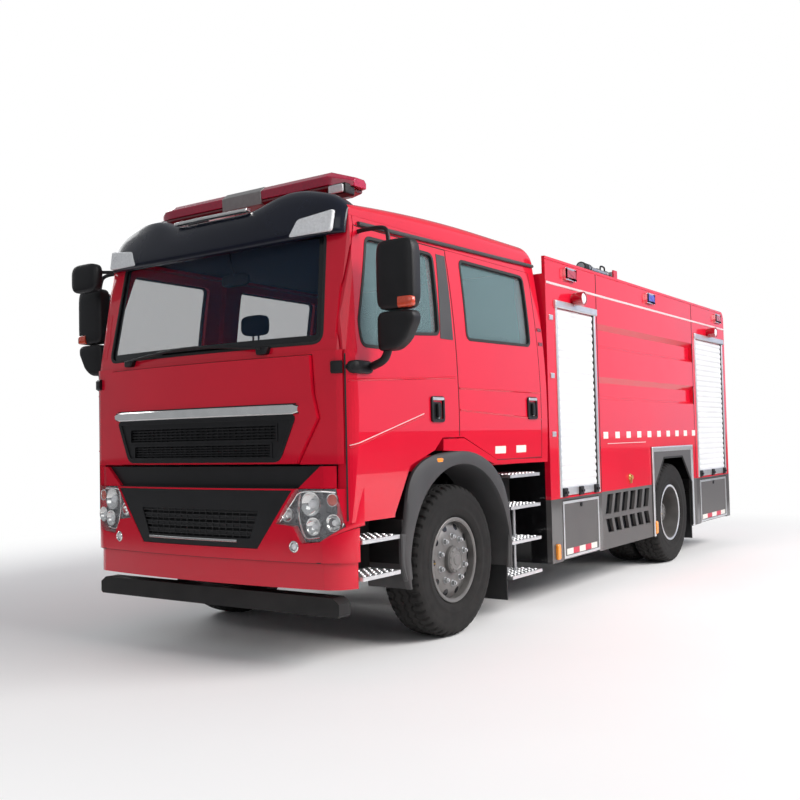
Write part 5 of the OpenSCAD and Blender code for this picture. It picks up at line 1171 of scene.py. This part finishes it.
def wheels():
    """Tyres with tread in place of the plain rings; nuts, hub caps, valves and bright rims on the wheels,
    and the outer dish of the front ones with black discs as painted shade in its hand holes."""
    for side, sign in (("left", 1), ("right", -1)):
        front = tyre(AXLE_F, sign * FRONT_WHEEL_Y)
        twins = [tyre(AXLE_R, sign * (REAR_WHEEL_Y + h)) for h in (-TWIN, TWIN)]
        build("tyre_tread_front_" + side, [front], "tyre_rubber", "wheel_front_" + side, smooth=40,
              stands_for=["tyre_front_" + side])
        build("tyre_tread_rear_" + side, twins, "tyre_rubber", "wheel_rear_" + side, smooth=40,
              stands_for=["tyres_rear_" + side])
    turn = circle(10) + math.pi / 10
    nut_ring, hole_ring = 0.1675, 0.24
    washer = [(0.023, -0.002), (0.023, 0.005), (0.018, 0.0055)]
    nut = [(0.019, 0.004), (0.019, 0.024), (0.016, 0.027), (0.012, 0.027), (0.012, 0.036), (0, 0.037)]
    for axle, y, name in ((AXLE_F, FRONT_WHEEL_Y + 0.102, "wheel_front"),
                          (AXLE_R, REAR_WHEEL_Y + 0.014, "wheel_rear")):
        spots = [round_axle(axle, nut_ring, y, a) for a in turn]
        nuts = [turned(profile, spot, LEFT, sides) for spot in spots for profile, sides in ((washer, 24), (nut, 6))]
        per_side(name + "_nuts", nuts, "steel", name, bevel=0.001)
    dish = [(0.098, 0.06), (0.098, 0.102), (0.165, 0.104), (0.20, 0.102), (0.215, 0.098), (0.262, 0.08),
            (0.276, 0.07), (0.276, 0.058), (0.255, 0.064), (0.2, 0.078)]
    plate = turned(dish, (AXLE_F, FRONT_WHEEL_Y, WHEEL_R), LEFT, 60)
    per_side("wheel_front_dish", [plate], "wheel_silver", "wheel_front")
    # black discs in the dish's hand holes: painted shade of the openings
    hole = [(0.027, -0.012), (0.027, 0.0006), (0.021, 0.0014), (0, 0.0014)]
    holes = [turned(hole, round_axle(AXLE_F, hole_ring, FRONT_WHEEL_Y + 0.0892, a),
                    (0.36 * math.cos(a), 0.93, 0.36 * math.sin(a)), 22) for a in turn + math.pi / 10]
    per_side("wheel_front_hole_shade", holes, "frit_black", "wheel_front")
    front_cap = [(0.093, 0.0), (0.088, 0.012), (0.07, 0.018), (0.066, 0.014), (0.04, 0.014), (0.036, 0.02),
                 (0, 0.021)]
    rear_cap = [(0.10, 0.0), (0.094, 0.008), (0.08, 0.01), (0.05, 0.01), (0.046, 0.016), (0, 0.017)]
    for name, axle, y, cap, cap_at, bolt, bolt_ring, bolt_at in (
            ("wheel_front", AXLE_F, FRONT_WHEEL_Y, front_cap, 0.128, stud(0.007, 0.008), 0.079, 0.140),
            ("wheel_rear", AXLE_R, REAR_WHEEL_Y, rear_cap, 0.198, stud(0.009, 0.01), 0.068, 0.207)):
        hub = [turned(cap, (axle, y + cap_at, WHEEL_R), LEFT, 40)]
        hub += [turned(bolt, round_axle(axle, bolt_ring, y + bolt_at, a), LEFT, 6) for a in turn]
        per_side(name + "_hub_cap", hub, "wheel_silver", name, bevel=0.001)
    section = np.array([(0.276, -0.004), (0.302, -0.004), (0.304, 0.003), (0.298, 0.006), (0.284, 0.003),
                        (0.278, -0.01)])
    d, u, v = axes_of(LEFT)
    angle = circle(96)[:, None]
    spoke = np.cos(angle) * u + np.sin(angle) * v
    for axle, y, name, look in ((AXLE_F, FRONT_WHEEL_Y + 0.124, "wheel_front", "wheel_silver"),
                                (AXLE_R, REAR_WHEEL_Y + TWIN + 0.124, "wheel_rear", "bright_alloy")):
        rings = np.array([axle, y, WHEEL_R]) + section[None, :, :1] * spoke[:, None] + section[None, :, 1:] * d
        per_side(name + "_rim_edge", [loft(rings, wrap=True)], look, name)
        stem = [(axle + 0.262, y - 0.05, WHEEL_R), (axle + 0.258, y - 0.02, WHEEL_R), (axle + 0.25, y, WHEEL_R)]
        per_side(name + "_valve", [tube(bent(stem), 0.005, 8)], "brass", name)


# Cab inside
def padding(centre, half, power, crown, axis, bolster=0.0):
    """Upholstery: a rounded closed form whose two faces square to an axis swell towards the middle, by a square
    across and a fourth power along; a bolster draws the sides of the first face forward."""
    points, faces = pillow((0, 0, 0), half, power, 26, 48)
    share = points / np.asarray(half)
    swell = (1 - share[:, 1] ** 2).clip(0) * (1 - share[:, 2 - axis] ** 4).clip(0)
    points[:, axis] += crown * swell * np.sign(points[:, axis]) * (np.abs(share[:, axis]) > 0.4)
    points[:, axis] += bolster * np.abs(share[:, 1]) ** 4 * (points[:, axis] > 0)
    return points + np.asarray(centre), faces


def cushion(centre, half, power, crown):
    """Seat cushion, swollen above and below."""
    return padding(centre, half, power, crown, 2)


def back_rest(centre, half, power, crown):
    """Back or head rest, swollen in front and behind, with bolsters at its sides."""
    return padding(centre, half, power, crown, 0, 0.02)


def seats():
    """Padded seats and crew bench on plain pedestals, head rests on posts."""
    soft, base = [], []
    floor, x = on_top(1.24), AXLE_F + 0.16
    rest_x = x - 0.08
    for y in (0.69, -0.69):
        soft += [cushion((x + 0.225, y, 1.59), (0.255, 0.24, 0.07), 4.0, 0.018),
                 back_rest((rest_x, y, 1.91), (0.06, 0.24, 0.35), 5.0, 0.018),
                 back_rest((rest_x, y, 2.385), (0.045, 0.13, 0.085), 4.0, 0.008)]
        base.append(tile((x + 0.01, y - 0.2, x + 0.41, y + 0.2), floor, 0.0, 0.29, corner=0.04))
        base += [tube([(rest_x, y + s, z) for z in (2.22, 2.27, 2.33)], 0.008, 10) for s in (-0.03, 0.03)]
    rear = BODY_FRONT + 0.05
    for y in (-0.64, 0.0, 0.64):
        soft += [cushion((rear + 0.31, y, 1.61), (0.23, 0.318, 0.07), 5.0, 0.018),
                 back_rest((rear + 0.115, y, 1.985), (0.058, 0.318, 0.295), 5.0, 0.016)]
    base.append(tile((rear + 0.08, -0.955, rear + 0.455, 0.955), floor, 0.0, 0.31, corner=0.03))
    pads = build("seat_cushions", soft, "seat_cloth", subdivide=1, smooth=80, stands_for=["seats"])
    build("seat_bases", base, "cab_trim", bevel=0.006)


def cab_inside():
    """Inner mirror on its stalk, instrument hood and radio, seen through the glass."""
    mirror = pillow((3.70, 0.05, 2.56), (0.018, 0.13, 0.045), 4.0, 10, 24)
    stalk = tube([(3.71, 0.05, 2.58), (3.74, 0.05, 2.66), (3.75, 0.05, 2.74)], 0.008, 8)
    build("inner_mirror", [mirror, stalk], "black_plastic")
    hood = pillow((AXLE_F + 0.98, 0.69, 1.86), (0.12, 0.26, 0.09), 3.0, 12, 28)
    radio = pillow((AXLE_F + 0.92, 0.0, 1.86), (0.10, 0.2, 0.06), 5.0, 10, 24)
    build("instrument_hood", [hood, radio], "cab_trim")


# Floor, light and camera
def floor_finish():
    """Floor: pale near the truck, where it keeps the shadow; further away white to the camera and dark to
    reflections."""
    mat = looks["floor_pale"]
    tree = mat.node_tree
    reach = add_node(tree, "VectorMath", {0: object_place(tree)}, operation="LENGTH").outputs["Value"]

    def rise(start, end):
        """Smooth step from 0 to 1 between two distances from the middle."""
        limits = {"Value": reach, "From Min": start, "From Max": end}
        return add_node(tree, "MapRange", limits, interpolation_type="SMOOTHSTEP").outputs["Result"]
    mix_base(tree, rise(8.5, 12.0), (0.13, 0.12, 0.12))
    seen = maths(tree, "MULTIPLY", rise(4.8, 8.8), add_node(tree, "LightPath").outputs["Is Camera Ray"])
    shaders = (seen, tree.nodes["Principled BSDF"].outputs[0], add_node(tree, "Emission").outputs[0])
    mix = add_node(tree, "MixShader", dict(enumerate(shaders)))
    tree.links.new(mix.outputs[0], tree.nodes["Material Output"].inputs["Surface"])
    return mat


def studio():
    """Pale floor that keeps the shadow, white beyond it, and soft light mostly from the truck's left."""
    bpy.ops.mesh.primitive_plane_add(size=160)
    floor = bpy.context.object
    floor.name = "floor"
    floor.data.materials.append(floor_finish())
    world = bpy.data.worlds.new("studio_world")
    bpy.context.scene.world = world
    world.use_nodes = True
    tree = world.node_tree
    tree.nodes.clear()
    rays = add_node(tree, "LightPath").outputs
    seen = maths(tree, "MAXIMUM", rays["Is Camera Ray"], rays["Is Transmission Ray"])
    soft = add_node(tree, "Background", {"Color": (0.93, 0.96, 1.0, 1), "Strength": 0.36}).outputs[0]
    white = add_node(tree, "Background", {"Color": (1, 1, 1, 1)}).outputs[0]
    mix = add_node(tree, "MixShader", {0: seen, 1: soft, 2: white})
    add_node(tree, "OutputWorld", {"Surface": mix.outputs[0]})
    lamps = [
        # name, place, aim, size, power, tint
        ("left_sky", (-1.0, 11.0, 9.0), (-1.0, 0.0, 1.4), (12.0, 6.0), 2000, (1.0, 0.97, 0.95)),
        ("front_fill", (12.0, 3.0, 6.0), (3.0, 0.0, 1.5), (7.0, 5.0), 110, (1.0, 1.0, 1.0)),
        ("back_left_sky", (-24.0, 15.0, 9.0), (-1.0, 1.0, 1.6), (34.0, 16.0), 900, (0.62, 0.68, 1.0)),
        ("right_fill", (-1.0, -11.0, 7.0), (0.0, 0.0, 1.4), (10.0, 5.0), 500, (1.0, 1.0, 1.0)),
    ]
    for name, place, aim, size, power, tint in lamps:
        lamp = bpy.data.lights.new(name, "AREA")
        lamp.shape = "RECTANGLE"
        lamp.size, lamp.size_y = size
        lamp.energy = power
        lamp.color = tint
        obj = bpy.data.objects.new(name, lamp)
        bpy.context.scene.collection.objects.link(obj)
        obj.location = place
        towards = mathutils.Vector(np.subtract(aim, place))
        obj.rotation_euler = towards.to_track_quat("-Z", "Y").to_euler()


def photo_camera():
    """Camera from the fit to the photo: place, turn, tilt and roll in the truck's frame."""
    place = (AXLE_F + 5.9302, 4.8015, 1.4262)
    yaw, pitch, roll = 3.7474, 0.0396, -0.0228
    focal_px, photo_px = 959.9, 800
    ahead = np.array([math.cos(pitch) * math.cos(yaw), math.cos(pitch) * math.sin(yaw), math.sin(pitch)])
    level = np.array([math.sin(yaw), -math.cos(yaw), 0.0])
    above = np.cross(level, ahead)
    right = level * math.cos(roll) + above * math.sin(roll)
    up = above * math.cos(roll) - level * math.sin(roll)
    data = bpy.data.cameras.new("photo_camera")
    data.sensor_width = 36.0
    data.lens = focal_px * data.sensor_width / photo_px
    data.clip_end = 300.0
    camera = bpy.data.objects.new("photo_camera", data)
    bpy.context.scene.collection.objects.link(camera)
    turn = mathutils.Matrix((right, up, -ahead)).transposed()
    camera.matrix_world = mathutils.Matrix.Translation(place) @ turn.to_4x4()
    bpy.context.scene.camera = camera


for make in (visor, roof_skin, pillar_covers, light_bar, screen_trim, grille_trim, insert_trim, lamp_shells,
             bumper_end_panels, lamp_insides, fog_lamps, window_trim, door_handles, door_creases, cab_side_trim,
             mirrors, shutter_trim, flap_trim, body_stripes, body_lamps, body_fittings, wheel_panels, body_roof,
             rear_trim, step_trim, arch_mouldings, step_wells, monitor_trim, wheels, seats, cab_inside,
             studio, photo_camera):
    make()
bpy.context.scene.view_settings.view_transform = "Standard"
